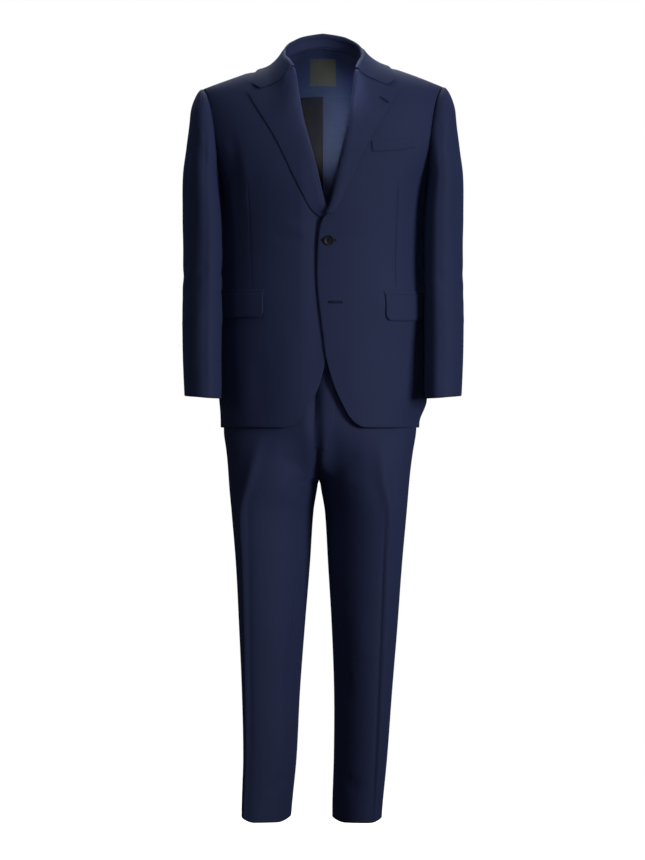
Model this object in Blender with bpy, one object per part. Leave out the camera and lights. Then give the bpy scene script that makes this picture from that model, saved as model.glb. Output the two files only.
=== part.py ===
"""Two-piece suit: a notch-lapel jacket with two buttons and straight trousers.

The suit stands filled out, as worn. Each piece of cloth is a closed wall that lies on one of
three forms: the jacket's torso, a sleeve, or the trousers. Metres, +Z up, the front faces -Y,
and the wearer's left is +X. The origin is at the nape, where the collar is sewn on.
"""

import bisect
import math
from collections import namedtuple

import bmesh
import bpy
from mathutils import Vector

# Cloth and seams
CLOTH = 0.0018
FINE_CLOTH = 0.0012
SEAM_GAP = 0.0003
STEP = 1e-3
EDGE_PROBE = 0.01
SHARP_ANGLE = 50.0

# Jacket form: half width, front depth and back depth of the torso at each height
Torso = namedtuple("Torso", "height half_width front back middle square")
TORSO = (
    Torso(-0.770, 0.2050, 0.120, 0.140, 0.026, 2.10),
    Torso(-0.690, 0.2050, 0.119, 0.138, 0.026, 2.10),
    Torso(-0.600, 0.2030, 0.117, 0.131, 0.026, 2.12),
    Torso(-0.500, 0.2000, 0.116, 0.119, 0.025, 2.15),
    Torso(-0.420, 0.1985, 0.117, 0.111, 0.024, 2.15),
    Torso(-0.350, 0.1990, 0.123, 0.117, 0.022, 2.20),
    Torso(-0.300, 0.2010, 0.129, 0.126, 0.018, 2.24),
    Torso(-0.265, 0.2050, 0.132, 0.132, 0.012, 2.30),
    Torso(-0.230, 0.2160, 0.132, 0.137, 0.006, 2.36),
    Torso(-0.190, 0.2300, 0.130, 0.140, 0.000, 2.40),
    Torso(-0.140, 0.2380, 0.125, 0.139, 0.000, 2.40),
    Torso(-0.080, 0.2410, 0.118, 0.134, 0.000, 2.40),
    Torso(0.040, 0.2410, 0.110, 0.128, 0.000, 2.40),
)
Shoulder = namedtuple("Shoulder", "out height depth")
SHOULDER = (
    Shoulder(-0.040, 0.026, 0.022),
    Shoulder(0.000, 0.034, 0.022),
    Shoulder(0.040, 0.021, 0.021),
    Shoulder(0.080, -0.009, 0.020),
    Shoulder(0.110, -0.026, 0.017),
    Shoulder(0.160, -0.045, 0.012),
    Shoulder(0.241, -0.077, 0.005),
    Shoulder(0.300, -0.100, 0.004),
)
SHOULDER_ROUND = 0.130
FORM_ROUNDS = 5
NECK_POINT = 0.080
NAPE = 0.004
NECK_SHARE = 1 / 3
HEM = -0.753

# Front edges: distance from the midline of each front, from the neck to the cut-away corner
Edge = namedtuple("Edge", "height left right")
FRONT_EDGE = (
    Edge(-0.009, 0.080, 0.080),
    Edge(-0.045, 0.069, 0.061),
    Edge(-0.095, 0.062, 0.052),
    Edge(-0.140, 0.055, 0.043),
    Edge(-0.200, 0.044, 0.027),
    Edge(-0.262, 0.028, 0.009),
    Edge(-0.310, 0.008, -0.012),
    Edge(-0.350, -0.005, -0.028),
    Edge(-0.410, -0.011, -0.033),
    Edge(-0.482, -0.010, -0.031),
    Edge(-0.566, 0.000, -0.021),
    Edge(-0.618, 0.007, -0.006),
    Edge(-0.680, 0.026, 0.012),
    Edge(-0.728, 0.050, 0.040),
)
CORNER_RUN = 0.036
Under = namedtuple("Under", "height depth")
UNDER_FRONT = (
    Under(-0.760, 0.0045),
    Under(-0.620, 0.0050),
    Under(-0.500, 0.0072),
    Under(-0.400, 0.0100),
    Under(-0.310, 0.0125),
    Under(-0.240, 0.0080),
    Under(-0.120, 0.0000),
    Under(0.040, 0.0000),
)
UNDER_REACH = 0.048

# Armhole, and the seams of the side panel, as angles round the torso from the front
ARMHOLE_SHARE = 0.70
ARMHOLE_HALF_ANGLE = 14.5
ARMHOLE_EGG = 0.35
ARMHOLE_LEAN = 1.0
ARMHOLE_BOTTOM = 1.26
FRONT_SEAM_AT = 125.0
BACK_SEAM_AT = 235.0
FRONT_SEAM_HEM_ANGLE = 72.0
BACK_SEAM_HEM_ANGLE = 114.0

# Sleeve form
Sleeve = namedtuple("Sleeve", "height out depth half_width half_depth turn")
SLEEVE = (
    Sleeve(-0.060, 0.2300, -0.001, 0.0240, 0.058, 0.0),
    Sleeve(-0.110, 0.2330, -0.002, 0.0305, 0.067, 2.0),
    Sleeve(-0.150, 0.2350, -0.003, 0.0325, 0.072, 4.0),
    Sleeve(-0.190, 0.2385, -0.004, 0.0340, 0.076, 5.0),
    Sleeve(-0.250, 0.2440, -0.005, 0.0345, 0.078, 6.0),
    Sleeve(-0.330, 0.2425, -0.006, 0.0360, 0.075, 8.0),
    Sleeve(-0.430, 0.2420, -0.009, 0.0372, 0.071, 8.0),
    Sleeve(-0.520, 0.2430, -0.016, 0.0375, 0.068, 8.0),
    Sleeve(-0.610, 0.2430, -0.030, 0.0365, 0.065, 8.0),
    Sleeve(-0.710, 0.2400, -0.048, 0.0350, 0.062, 8.0),
)
SLEEVE_HEAD = 0.050
SLEEVE_SIDE_ROUND = 0.085
SLEEVE_STAND = 0.022
CUFF = -0.690
CUFF_SLANT = 0.005
SLEEVE_FRONT_SEAM = 118.0
SLEEVE_BACK_SEAM = 242.0

# Lapel and collar; along is the distance across the shoulder seam, in shoulder rounds
GORGE_HEIGHT = -0.042
Lapel = namedtuple("Lapel", "height out")
LAPEL_EDGE = (
    Lapel(-0.345, -0.010),
    Lapel(-0.322, 0.010),
    Lapel(-0.298, 0.029),
    Lapel(-0.250, 0.059),
    Lapel(-0.205, 0.080),
    Lapel(-0.150, 0.110),
    Lapel(-0.084, 0.151),
)
LAPEL_TIP = -0.084
LAPEL_FOOT = {"left": -0.308, "right": -0.292}
LAPEL_FOOT_WIDTH = 0.014
LAPEL_CLOTH = 0.0014
Roll = namedtuple("Roll", "share back lift")
LAPEL_ROLL = (
    Roll(0.00, 0.0008, -0.0044),
    Roll(0.07, 0.0032, -0.0042),
    Roll(0.14, 0.0050, -0.0020),
    Roll(0.22, 0.0048, 0.0020),
    Roll(0.30, 0.0016, 0.0054),
    Roll(0.40, -0.0070, 0.0066),
)
LAPEL_EDGE_LIFT = 0.0030
Collar = namedtuple("Collar", "share stand edge_out edge_along")
COLLAR = (
    Collar(0.00, 0.0240, 0.000, 0.640),
    Collar(0.15, 0.0240, 0.040, 0.605),
    Collar(0.30, 0.0225, 0.078, 0.470),
    Collar(0.42, 0.0195, 0.104, 0.260),
    Collar(0.50, 0.0165, 0.117, 0.090),
    Collar(0.66, 0.0110, 0.131, -0.130),
    Collar(0.84, 0.0060, 0.139, -0.290),
    Collar(1.00, 0.0032, 0.143, -0.405),
)
COLLAR_POINT = (0.143, -0.064)
NOTCH_ALONG = 0.695
NOTCH_SHARE = 0.76
COLLAR_LIFT = 0.0036
COLLAR_CLOTH = 0.0014
COLLAR_FALL_POWER = 1.4
COLLAR_FLAT_FROM = 0.50
COLLAR_FLAT_RUN = 0.35
COLLAR_GORGE_FROM = 0.80
STAND_IN = 0.0016
STAND_END = 0.60
STAND_TOP = 0.0030
Crest = namedtuple("Crest", "share inward fall")
COLLAR_CREST = (
    Crest(0.00, 0.0050, 0.0085),
    Crest(0.08, 0.0062, 0.0040),
    Crest(0.16, 0.0046, 0.0004),
    Crest(0.24, 0.0018, -0.0006),
    Crest(0.34, 0.0000, 0.0000),
)

# Pockets, buttons and label
FLAP_TOP = -0.486
FLAP_HEIGHT = 0.052
FLAP_START = 0.119
FLAP_ANGLE = 41.0
FLAP_CORNER = 0.013
FLAP_WIDTH = 0.145
FLAP_STAND = 0.0014
JET_OVER = 0.6
JET_HEIGHT = 0.006
WELT_START = (0.099, -0.202)
WELT_END = 0.184
WELT_HEIGHT = 0.021
WELT_SLANT = 0.010
WELT_LEAN = 0.002
BUTTON_RADIUS = 0.010
BUTTON_HEIGHT = 0.0026
BUTTON_SIDES = 24
BUTTON_STAND = 0.0012
TOP_BUTTON = (0.0115, -0.381)
LOWER_BUTTON = (0.0110, -0.501)
CUFF_BUTTON_RADIUS = 0.0070
CUFF_BUTTON_HEIGHT = 0.0022
CUFF_BUTTON_STAND = 0.0006
CUFF_BUTTON_SIDES = 10
CUFF_BUTTON_FIRST = 0.040
CUFF_BUTTON_PITCH = 0.0155
CUFF_BUTTON_COUNT = 4
CUFF_BUTTON_ANGLE = 254.0
APPLIED_LIFT = 0.0030
JET_LIFT = 0.0024
FACING_LIFT = -0.0044
LABEL_LIFT = -0.0066
FACING_FOOT = -0.090
FACING_START = 0.03
FACING_HALF = 0.086
LINING_ANGLE = 126.0
LINING_FOOT = -0.730
LABEL_CLOTH = 0.0010
LABEL_WIDTH = 0.054
LABEL_TOP = -0.014
LABEL_FOOT = -0.069

# Trousers
Hip = namedtuple("Hip", "height middle half_width front back square")
HIP = (
    Hip(-0.560, 0.000, 0.162, 0.092, 0.104, 2.1),
    Hip(-0.640, 0.000, 0.176, 0.100, 0.116, 2.1),
    Hip(-0.700, -0.003, 0.187, 0.105, 0.125, 2.1),
    Hip(-0.758, -0.006, 0.193, 0.107, 0.129, 2.1),
    Hip(-0.806, -0.007, 0.188, 0.107, 0.129, 2.5),
    Hip(-0.858, -0.008, 0.183, 0.106, 0.126, 2.9),
    Hip(-0.940, -0.008, 0.180, 0.106, 0.122, 2.9),
)
Leg = namedtuple("Leg", "height left right half_width half_depth depth left_turn right_turn")
LEG = (
    Leg(-0.760, 0.0900, 0.1000, 0.0930, 0.106, 0.010, 12.0, 16.0),
    Leg(-0.858, 0.0835, 0.0990, 0.0895, 0.108, 0.010, 20.0, 26.0),
    Leg(-0.920, 0.0855, 0.1008, 0.0820, 0.106, 0.009, 26.0, 35.0),
    Leg(-1.026, 0.0840, 0.1000, 0.0740, 0.095, 0.006, 28.0, 38.0),
    Leg(-1.154, 0.0830, 0.1020, 0.0655, 0.083, 0.000, 30.0, 40.0),
    Leg(-1.282, 0.0800, 0.1040, 0.0580, 0.074, 0.000, 31.0, 42.0),
    Leg(-1.410, 0.0750, 0.1060, 0.0535, 0.068, 0.004, 33.0, 43.0),
    Leg(-1.506, 0.0690, 0.1120, 0.0505, 0.064, 0.008, 34.0, 44.0),
    Leg(-1.560, 0.0675, 0.1140, 0.0490, 0.063, 0.009, 34.0, 44.0),
)
HIP_MIDDLE = 0.015
WAIST = -0.600
CROTCH = -0.858
SEAT_START = -0.742
TROUSER_HEM = -1.542
CREASE_SIZE = 0.055
CREASE_SPREAD = 9.0
HIP_CREASE_ANGLE = 50.0
INSEAM_SETTLE = 0.240
WAISTBAND_HEIGHT = 0.038
FLY_FOOT = -0.800
FLY_LIFT = 0.0028
CROTCH_ROW = 0.72
CROTCH_REACH = 0.36
FLY_OVER = 0.011
FLY_IN = 0.027
FLY_TOP_GAP = 0.001
FLY_FOOT_SHARE = 0.5
FLY_CURVE = 0.25
HALVINGS = 24

Finish = namedtuple("Finish", "colour roughness")
FINISHES = {
    "suiting": Finish((0.016, 0.024, 0.072), 0.78),
    "lining": Finish((0.028, 0.036, 0.080), 0.42),
    "label": Finish((0.022, 0.024, 0.021), 0.60),
    "horn": Finish((0.010, 0.011, 0.016), 0.28),
}


def clear_scene():
    for item in list(bpy.data.objects):
        bpy.data.objects.remove(item, do_unlink=True)


def finish(name):
    """A material of one of the named finishes, a copy for each piece."""
    look = FINISHES[name]
    material = bpy.data.materials.new(name)
    material.use_nodes = True
    shader = material.node_tree.nodes["Principled BSDF"]
    shader.inputs["Base Color"].default_value = (*look.colour, 1.0)
    shader.inputs["Roughness"].default_value = look.roughness
    shader.inputs["Metallic"].default_value = 0.0
    return material


TRACKS = {}


def track(rows, column):
    """Keys, values and slopes of one column of a table, kept for the next call."""
    name = (id(rows), column)
    if name not in TRACKS:
        ordered = sorted(rows)
        keys = [row[0] for row in ordered]
        values = [getattr(row, column) for row in ordered]
        slopes = []
        for i in range(len(keys)):
            before, after = max(i - 1, 0), min(i + 1, len(keys) - 1)
            slopes.append((values[after] - values[before]) / (keys[after] - keys[before]))
        TRACKS[name] = (keys, values, slopes)
    return TRACKS[name]


def between(rows, at, column):
    """A column's value on a smooth curve through the rows; the first column says where."""
    keys, values, slopes = track(rows, column)
    if at <= keys[0]:
        return values[0]
    if at >= keys[-1]:
        return values[-1]
    low = bisect.bisect_right(keys, at) - 1
    run = keys[low + 1] - keys[low]
    t = (at - keys[low]) / run
    start, end = slopes[low] * run, slopes[low + 1] * run
    rise = values[low + 1] - values[low]
    return values[low] + t * (start + t * (3 * rise - 2 * start - end + t * (start + end - 2 * rise)))


def ease(share):
    share = min(max(share, 0.0), 1.0)
    return share * share * (3 - 2 * share)


def mix(first, second, share):
    return first + (second - first) * share


# ---------------------------------------------------------------- torso

def section_depth(section, out, back):
    """Distance in front of or behind the middle at a distance out, on one torso section."""
    reach = min(abs(out) / section.half_width, 1.0)
    depth = section.back - section.middle if back else -section.front - section.middle
    return section.middle + depth * (1 - reach**section.square) ** (1 / section.square)


def torso_section(height):
    values = [between(TORSO, height, column) for column in Torso._fields[1:]]
    return Torso(height, *values)


def torso_radius(section, angle):
    across, along = abs(math.sin(angle)), abs(math.cos(angle))
    front = math.cos(angle) > 0
    depth = section.front + section.middle if front else section.back - section.middle
    total = (across / section.half_width) ** section.square + (along / depth) ** section.square
    return total ** (-1 / section.square)


def drop_at(down):
    """Drop below the shoulder line at a distance down the surface, in shoulder rounds."""
    if abs(down) < 1:
        return SHOULDER_ROUND * (1 - math.cos(down * math.pi / 2))
    return SHOULDER_ROUND * (1 + (abs(down) - 1) * math.pi / 2)


def down_at(drop):
    if drop < SHOULDER_ROUND:
        return math.acos(1 - max(drop, 0.0) / SHOULDER_ROUND) / (math.pi / 2)
    return 1 + (drop / SHOULDER_ROUND - 1) / (math.pi / 2)


def rounded(depth, out, down):
    """Depth pulled in to the shoulder seam near the shoulder line."""
    seam = between(SHOULDER, out, "depth")
    if abs(down) >= 1:
        return depth
    return seam + (depth - seam) * math.sin(down * math.pi / 2)


def torso(angle, down):
    """Point of the left half at an angle from the front (degrees) and a distance down."""
    turn = math.radians(angle)
    height = -drop_at(down)
    for _ in range(FORM_ROUNDS):
        section = torso_section(height)
        radius = torso_radius(section, turn)
        height = between(SHOULDER, abs(radius * math.sin(turn)), "height") - drop_at(down)
    out = radius * math.sin(turn)
    depth = rounded(section.middle - radius * math.cos(turn), abs(out), down)
    return Vector((out, depth, height))


def place(out, height, back=False):
    """Angle and distance down of the torso point at a front-view place."""
    section = torso_section(height)
    depth = section_depth(section, out, back)
    angle = math.degrees(math.atan2(out, section.middle - depth))
    return angle, down_at(between(SHOULDER, abs(out), "height") - height)


def shoulder(out, along):
    """Point near the shoulder: along is 0 on the seam, positive down the back."""
    height = between(SHOULDER, abs(out), "height") - drop_at(along)
    section = torso_section(height)
    depth = section_depth(section, out, along > 0)
    return Vector((out, rounded(depth, abs(out), abs(along)), height))


def armhole(turn):
    """Angle and distance down of the armhole edge; turn 0 is its top and 90 its front."""
    across, up = math.sin(math.radians(turn)), math.cos(math.radians(turn))
    angle = 90 - ARMHOLE_LEAN * (1 - up) / 2 - ARMHOLE_HALF_ANGLE * across * (1 - ARMHOLE_EGG * up)
    return angle, ARMHOLE_BOTTOM * (1 - up) / 2


def patch(left, right, bottom, top):
    """Torso panel between four edges, each giving an angle and a distance down."""
    def point(across, up):
        corners = (left(0), right(0), left(1), right(1))
        spot = []
        for i in range(2):
            sides = mix(left(up)[i], right(up)[i], across)
            ends = mix(bottom(across)[i], top(across)[i], up)
            low = mix(corners[0][i], corners[1][i], across)
            high = mix(corners[2][i], corners[3][i], across)
            spot.append(sides + ends - mix(low, high, up))
        return torso(*spot)
    return point


# ---------------------------------------------------------------- walls

def normal_at(point, u, v):
    across = point(u + STEP, v) - point(u - STEP, v)
    up = point(u, v + STEP) - point(u, v - STEP)
    return across.cross(up).normalized()


def lifted(point, lift):
    """The same surface moved out by a distance, which may change over it."""
    def moved(u, v):
        amount = lift(u, v) if callable(lift) else lift
        return point(u, v) + normal_at(point, u, v) * amount
    return moved


def mirrored(point):
    def other(u, v):
        spot = point(1 - u, v)
        return Vector((-spot.x, spot.y, spot.z))
    return other


def inset(point, u, v):
    """Grid place, moved in by half a seam gap where it lies on an edge."""
    probe = EDGE_PROBE
    half = SEAM_GAP / 2
    new_u, new_v = u, v
    if u in (0, 1):
        inward = probe if u == 0 else -probe
        new_u = u + half * inward / (point(u + inward, v) - point(u, v)).length
    if v in (0, 1):
        inward = probe if v == 0 else -probe
        new_v = v + half * inward / (point(u, v + inward) - point(u, v)).length
    return new_u, new_v


def shares(count):
    return [i / count for i in range(count + 1)]


def wall(name, point, across, up, look, thickness=CLOTH, hold=None):
    """Closed wall of cloth: its outer face is on the surface, its inner face is behind it."""
    mesh = bmesh.new()
    outer, inner = [], []
    for v in up:
        outer.append([])
        inner.append([])
        for u in across:
            spot = inset(point, u, v)
            face = point(*spot)
            back = face - normal_at(point, *spot) * thickness
            if hold:
                face, back = hold(face), hold(back)
            outer[-1].append(mesh.verts.new(face))
            inner[-1].append(mesh.verts.new(back))
    for j in range(len(up) - 1):
        for i in range(len(across) - 1):
            mesh.faces.new((outer[j][i], outer[j][i + 1], outer[j + 1][i + 1], outer[j + 1][i]))
            mesh.faces.new((inner[j + 1][i], inner[j + 1][i + 1], inner[j][i + 1], inner[j][i]))
    last_u, last_v = len(across) - 1, len(up) - 1
    for i in range(last_u):
        mesh.faces.new((outer[0][i + 1], outer[0][i], inner[0][i], inner[0][i + 1]))
        mesh.faces.new((outer[last_v][i], outer[last_v][i + 1], inner[last_v][i + 1], inner[last_v][i]))
    for j in range(last_v):
        mesh.faces.new((outer[j][0], outer[j + 1][0], inner[j + 1][0], inner[j][0]))
        mesh.faces.new((outer[j + 1][last_u], outer[j][last_u], inner[j][last_u], inner[j + 1][last_u]))
    return add(name, mesh, look)


def add(name, mesh, look):
    bmesh.ops.triangulate(mesh, faces=mesh.faces)
    bmesh.ops.recalc_face_normals(mesh, faces=mesh.faces)
    if mesh.calc_volume(signed=True) < 0:
        bmesh.ops.reverse_faces(mesh, faces=mesh.faces)
    data = bpy.data.meshes.new(name)
    mesh.to_mesh(data)
    mesh.free()
    data.materials.append(finish(look))
    data.shade_smooth()
    data.set_sharp_from_angle(angle=math.radians(SHARP_ANGLE))
    item = bpy.data.objects.new(name, data)
    bpy.context.scene.collection.objects.link(item)
    return item


def pair(name, left, right, across, up, look, thickness=CLOTH):
    """A piece on each side; each surface is given for the left half."""
    wall(f"{name}_left", left, across, up, look, thickness)
    wall(f"{name}_right", mirrored(right), [1 - u for u in reversed(across)], up, look, thickness)


# ---------------------------------------------------------------- jacket body

def front_edge(side):
    """Front edge of a forepart, from the cut-away corner at 0 to the neck point at 1."""
    low, high = FRONT_EDGE[-1].height, FRONT_EDGE[0].height
    foot = place(getattr(FRONT_EDGE[-1], side), low)[1]

    def edge(up):
        down = mix(foot, 0.0, up)
        height = high - drop_at(down)
        for _ in range(FORM_ROUNDS):
            out = between(FRONT_EDGE, min(max(height, low), high), side)
            height = between(SHOULDER, abs(out), "height") - drop_at(down)
        return place(out, height)[0], down
    return edge


def down_to(angle, height):
    """Distance down the torso to a height, at an angle."""
    turn = math.radians(angle)
    out = abs(torso_radius(torso_section(height), turn) * math.sin(turn))
    return down_at(between(SHOULDER, out, "height") - height)


def front_hem(side):
    start, corner = getattr(FRONT_EDGE[-1], side), FRONT_EDGE[-1].height
    first = place(start, corner)[0]

    def hem(across):
        angle = mix(first, FRONT_SEAM_HEM_ANGLE, across)
        turn = math.radians(angle)
        out = torso_radius(torso_section(HEM), turn) * math.sin(turn)
        run = min(max((out - start) / CORNER_RUN, 0.0), 1.0)
        return angle, down_to(angle, corner + (HEM - corner) * (1 - (1 - run) ** 2))
    return hem


def shoulder_seam(across):
    first = place(NECK_POINT, SHOULDER[3].height)[0]
    return mix(first, 90.0, across), 0.0


def seam_line(turn, hem_angle):
    """Side seam from the hem at 0 up to the armhole at 1."""
    angle, down = armhole(turn)
    foot = down_to(hem_angle, HEM)

    def seam(up):
        return mix(hem_angle, angle, up), mix(foot, down, up)
    return seam


def seam_and_armhole(turn, top_turn, hem_angle):
    """Side seam, then the armhole up to the shoulder, as one edge."""
    seam = seam_line(turn, hem_angle)

    def edge(up):
        if up < ARMHOLE_SHARE:
            return seam(up / ARMHOLE_SHARE)
        return armhole(mix(turn, top_turn, (up - ARMHOLE_SHARE) / (1 - ARMHOLE_SHARE)))
    return edge


def forepart(side):
    edge = seam_and_armhole(FRONT_SEAM_AT, 0.0, FRONT_SEAM_HEM_ANGLE)
    surface = patch(front_edge(side), edge, front_hem(side), shoulder_seam)
    if side == "left":
        return surface

    def under(u, v):
        spot = surface(u, v)
        depth = between(UNDER_FRONT, spot.z, "depth")
        return -depth * ease((UNDER_REACH - spot.x) / UNDER_REACH)
    return lifted(surface, under)


def side_panel():
    def hem(across):
        angle = mix(FRONT_SEAM_HEM_ANGLE, BACK_SEAM_HEM_ANGLE, across)
        return angle, down_to(angle, HEM)

    def underarm(across):
        return armhole(mix(FRONT_SEAM_AT, BACK_SEAM_AT, across))
    front = seam_line(FRONT_SEAM_AT, FRONT_SEAM_HEM_ANGLE)
    back = seam_line(BACK_SEAM_AT, BACK_SEAM_HEM_ANGLE)
    return patch(front, back, hem, underarm)


def neckline(out):
    """Distance down the back of the neckline, at a distance out from the midline."""
    nape = down_at(between(SHOULDER, 0.0, "height") - NAPE)
    last = place(NECK_POINT, SHOULDER[3].height, back=True)[0]
    share = (180.0 - place(out, SHOULDER[3].height, back=True)[0]) / (180.0 - last)
    return nape * math.sqrt(max(1 - share**2, 0.0))


def back_panel():
    foot = down_to(180.0, HEM)
    nape = down_at(between(SHOULDER, 0.0, "height") - NAPE)
    neck_angle = place(NECK_POINT, SHOULDER[3].height, back=True)[0]

    def centre(up):
        return 180.0, mix(foot, nape, up)

    def hem(across):
        angle = mix(180.0, BACK_SEAM_HEM_ANGLE, across)
        return angle, down_to(angle, HEM)

    def top(across):
        if across < NECK_SHARE:
            share = across / NECK_SHARE
            return mix(180.0, neck_angle, share), nape * math.sqrt(max(1 - share**2, 0.0))
        return mix(neck_angle, 90.0, (across - NECK_SHARE) / (1 - NECK_SHARE)), 0.0
    edge = seam_and_armhole(BACK_SEAM_AT, 360.0, BACK_SEAM_HEM_ANGLE)
    inner = patch(centre, edge, hem, top)
    return lambda u, v: inner(1 - u, v)


def jacket_body():
    up = [ARMHOLE_SHARE * share for share in shares(11)]
    up += [mix(ARMHOLE_SHARE, 1.0, share) for share in shares(9)[1:]]
    pair("forepart", forepart("left"), forepart("right"), shares(11), up, "suiting")
    pair("side_panel", side_panel(), side_panel(), shares(4), shares(11), "suiting")
    pair("back", back_panel(), back_panel(), shares(9), up, "suiting")


# ---------------------------------------------------------------- sleeves

def sleeve_point(turn, height):
    """Point of the left sleeve's tube; turn 0 is its outer side and 90 its front."""
    values = {column: between(SLEEVE, height, column) for column in Sleeve._fields[1:]}
    angle = math.radians(turn)
    across = values["half_width"] * math.cos(angle)
    along = -values["half_depth"] * math.sin(angle)
    twist = math.radians(values["turn"])
    return Vector((
        values["out"] + across * math.cos(twist) + along * math.sin(twist),
        values["depth"] - across * math.sin(twist) + along * math.cos(twist),
        height,
    ))


def sleeve_surface(turn, down):
    """Point of the left sleeve from the armhole at 0 to the cuff at 1.

    It leaves the armhole sideways where the sleeve stands out from it, and straight down
    where the two meet.
    """
    start = torso(*armhole(turn)) + Vector((2 * SEAM_GAP, 0, 0))
    side = abs(math.sin(math.radians(turn)))
    roll = mix(SLEEVE_HEAD, SLEEVE_SIDE_ROUND, side)
    below = sleeve_point(turn, start.z - roll)
    stand = ease(math.hypot(below.x - start.x, below.y - start.y) / SLEEVE_STAND)
    cuff = CUFF - CUFF_SLANT * (1 - math.cos(math.radians(turn))) / 2
    quarter = roll * math.pi / 2
    first_drop = mix(quarter, roll, stand)
    run = down * (1 + (start.z - cuff - first_drop) / quarter)
    swing = min(run, 1.0) * math.pi / 2
    drop = mix(roll * swing, roll * (1 - math.cos(swing)), stand) + quarter * max(run - 1, 0.0)
    tube = sleeve_point(turn, start.z - drop)
    share = math.sin(swing)
    return Vector((mix(start.x, tube.x, share), mix(start.y, tube.y, share), start.z - drop))


def sleeve_part(first, last):
    return lambda u, v: sleeve_surface(mix(first, last, u), 1 - v)


def sleeves():
    top = sleeve_part(SLEEVE_BACK_SEAM - 360, SLEEVE_FRONT_SEAM)
    under = sleeve_part(SLEEVE_FRONT_SEAM, SLEEVE_BACK_SEAM)
    top, under = (flipped(part) for part in (top, under))
    up = shares(15)
    pair("top_sleeve", top, top, shares(11), up, "suiting")
    pair("under_sleeve", under, under, shares(6), up, "suiting")


def flipped(point):
    return lambda u, v: point(1 - u, v)


# ---------------------------------------------------------------- lapels and collar

def front_face(side):
    """Outer face of a forepart at a front-view place, before it is mirrored."""
    def face(out, height):
        down = down_at(between(SHOULDER, abs(out), "height") - height)
        depth = section_depth(torso_section(height), out, False)
        spot = Vector((out, rounded(depth, abs(out), down), height))
        if side == "right":
            under = between(UNDER_FRONT, height, "depth") * ease((UNDER_REACH - out) / UNDER_REACH)
            spot += Vector((0, under, 0))
        return spot
    return face


def lapel(side):
    face = front_face(side)
    last = LAPEL_ROLL[-1]

    def point(u, v):
        roll_height = mix(LAPEL_FOOT[side], GORGE_HEIGHT, v)
        edge_height = mix(LAPEL_FOOT[side] - LAPEL_FOOT_WIDTH, LAPEL_TIP, v)
        roll = Vector((between(FRONT_EDGE, roll_height, side), roll_height))
        edge = Vector((between(LAPEL_EDGE, edge_height, "out"), edge_height))
        away = (edge - roll).normalized()
        wrap = min(u, last.share)
        spot = roll - away * between(LAPEL_ROLL, wrap, "back")
        lift = between(LAPEL_ROLL, wrap, "lift")
        if u > last.share:
            share = (u - last.share) / (1 - last.share)
            spot = spot.lerp(edge, share)
            lift = mix(lift, LAPEL_EDGE_LIFT, share)
        return face(*spot) + normal_at(face, *spot) * lift
    return point


def neck_path(side, share):
    """Out and along of the neck seam, from the nape at 0 round to the gorge at 1."""
    if share <= 0.5:
        out = NECK_POINT * math.sin(share * math.pi)
        return out, neckline(out)
    gorge = down_at(between(SHOULDER, 0.069, "height") - GORGE_HEIGHT)
    down = gorge * (share - 0.5) / 0.5
    height = SHOULDER[3].height - drop_at(down)
    for _ in range(FORM_ROUNDS):
        out = between(FRONT_EDGE, height, side)
        height = between(SHOULDER, out, "height") - drop_at(down)
    return out, -down


def gorge_end(side, down):
    """Out and along of the collar's front end: down the gorge to the notch, then its point."""
    roll = Vector((between(FRONT_EDGE, GORGE_HEIGHT, side), GORGE_HEIGHT))
    tip = Vector((between(LAPEL_EDGE, LAPEL_TIP, "out"), LAPEL_TIP))
    notch = roll.lerp(tip, NOTCH_ALONG)
    if down < NOTCH_SHARE:
        spot = roll.lerp(notch, down / NOTCH_SHARE)
    else:
        spot = notch.lerp(Vector(COLLAR_POINT), (down - NOTCH_SHARE) / (1 - NOTCH_SHARE))
    return spot.x, -down_at(between(SHOULDER, spot.x, "height") - spot.y)


def collar_base(side, share, down):
    """Point of the body under the collar, and the body's outward direction there."""
    first = neck_path(side, share)
    last = between(COLLAR, share, "edge_out"), between(COLLAR, share, "edge_along")
    spot = [mix(first[i], last[i], down) for i in range(2)]
    pull = ease((share - COLLAR_GORGE_FROM) / (1 - COLLAR_GORGE_FROM))
    if pull > 0:
        end = gorge_end(side, down)
        straight = [mix(a, b, down) for a, b in zip(neck_path(side, 1.0), COLLAR[-1][2:])]
        spot = [spot[i] + (end[i] - straight[i]) * pull for i in range(2)]
    normal = normal_at(shoulder, *spot)
    return shoulder(*spot), -normal if normal.z < 0 else normal


def inward(spot):
    return -Vector((spot.x, spot.y, 0)).normalized()


def across_neck(half):
    """A surface given for each side, joined over the nape; u runs from right to left."""
    def point(u, v):
        side = "left" if u >= 0.5 else "right"
        spot = half(side, min(abs(2 * u - 1), 1.0 + STEP), v)
        return spot if u >= 0.5 else Vector((-spot.x, spot.y, spot.z))
    return point


def collar_fall(side, share, v):
    """Outer collar: over the crest, then down to its edge; v is 0 inside the crest."""
    crest = COLLAR_CREST[-1].share
    down = max(v - crest, 0.0) / (1 - crest)
    spot, normal = collar_base(side, share, down)
    away = (collar_base(side, share, down + STEP)[0] - spot).normalized()
    flat = ease((share - COLLAR_FLAT_FROM) / COLLAR_FLAT_RUN)
    up = Vector((0, 0, 1)).lerp(normal, flat)
    into = inward(spot).lerp(-away, flat)
    rise = between(COLLAR, share, "stand") * max(1 - down, 0.0) ** COLLAR_FALL_POWER
    rise -= between(COLLAR_CREST, min(v, crest), "fall")
    return spot + normal * COLLAR_LIFT + up * rise + into * between(COLLAR_CREST, min(v, crest), "inward")


def collar_stand(side, share, v):
    spot, normal = collar_base(side, share * STAND_END, 0.0)
    rise = between(COLLAR, share * STAND_END, "stand")
    return spot + inward(spot) * STAND_IN + Vector((0, 0, mix(SEAM_GAP, rise - STAND_TOP, v)))


def downward(point):
    return lambda u, v: point(u, 1 - v)


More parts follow.
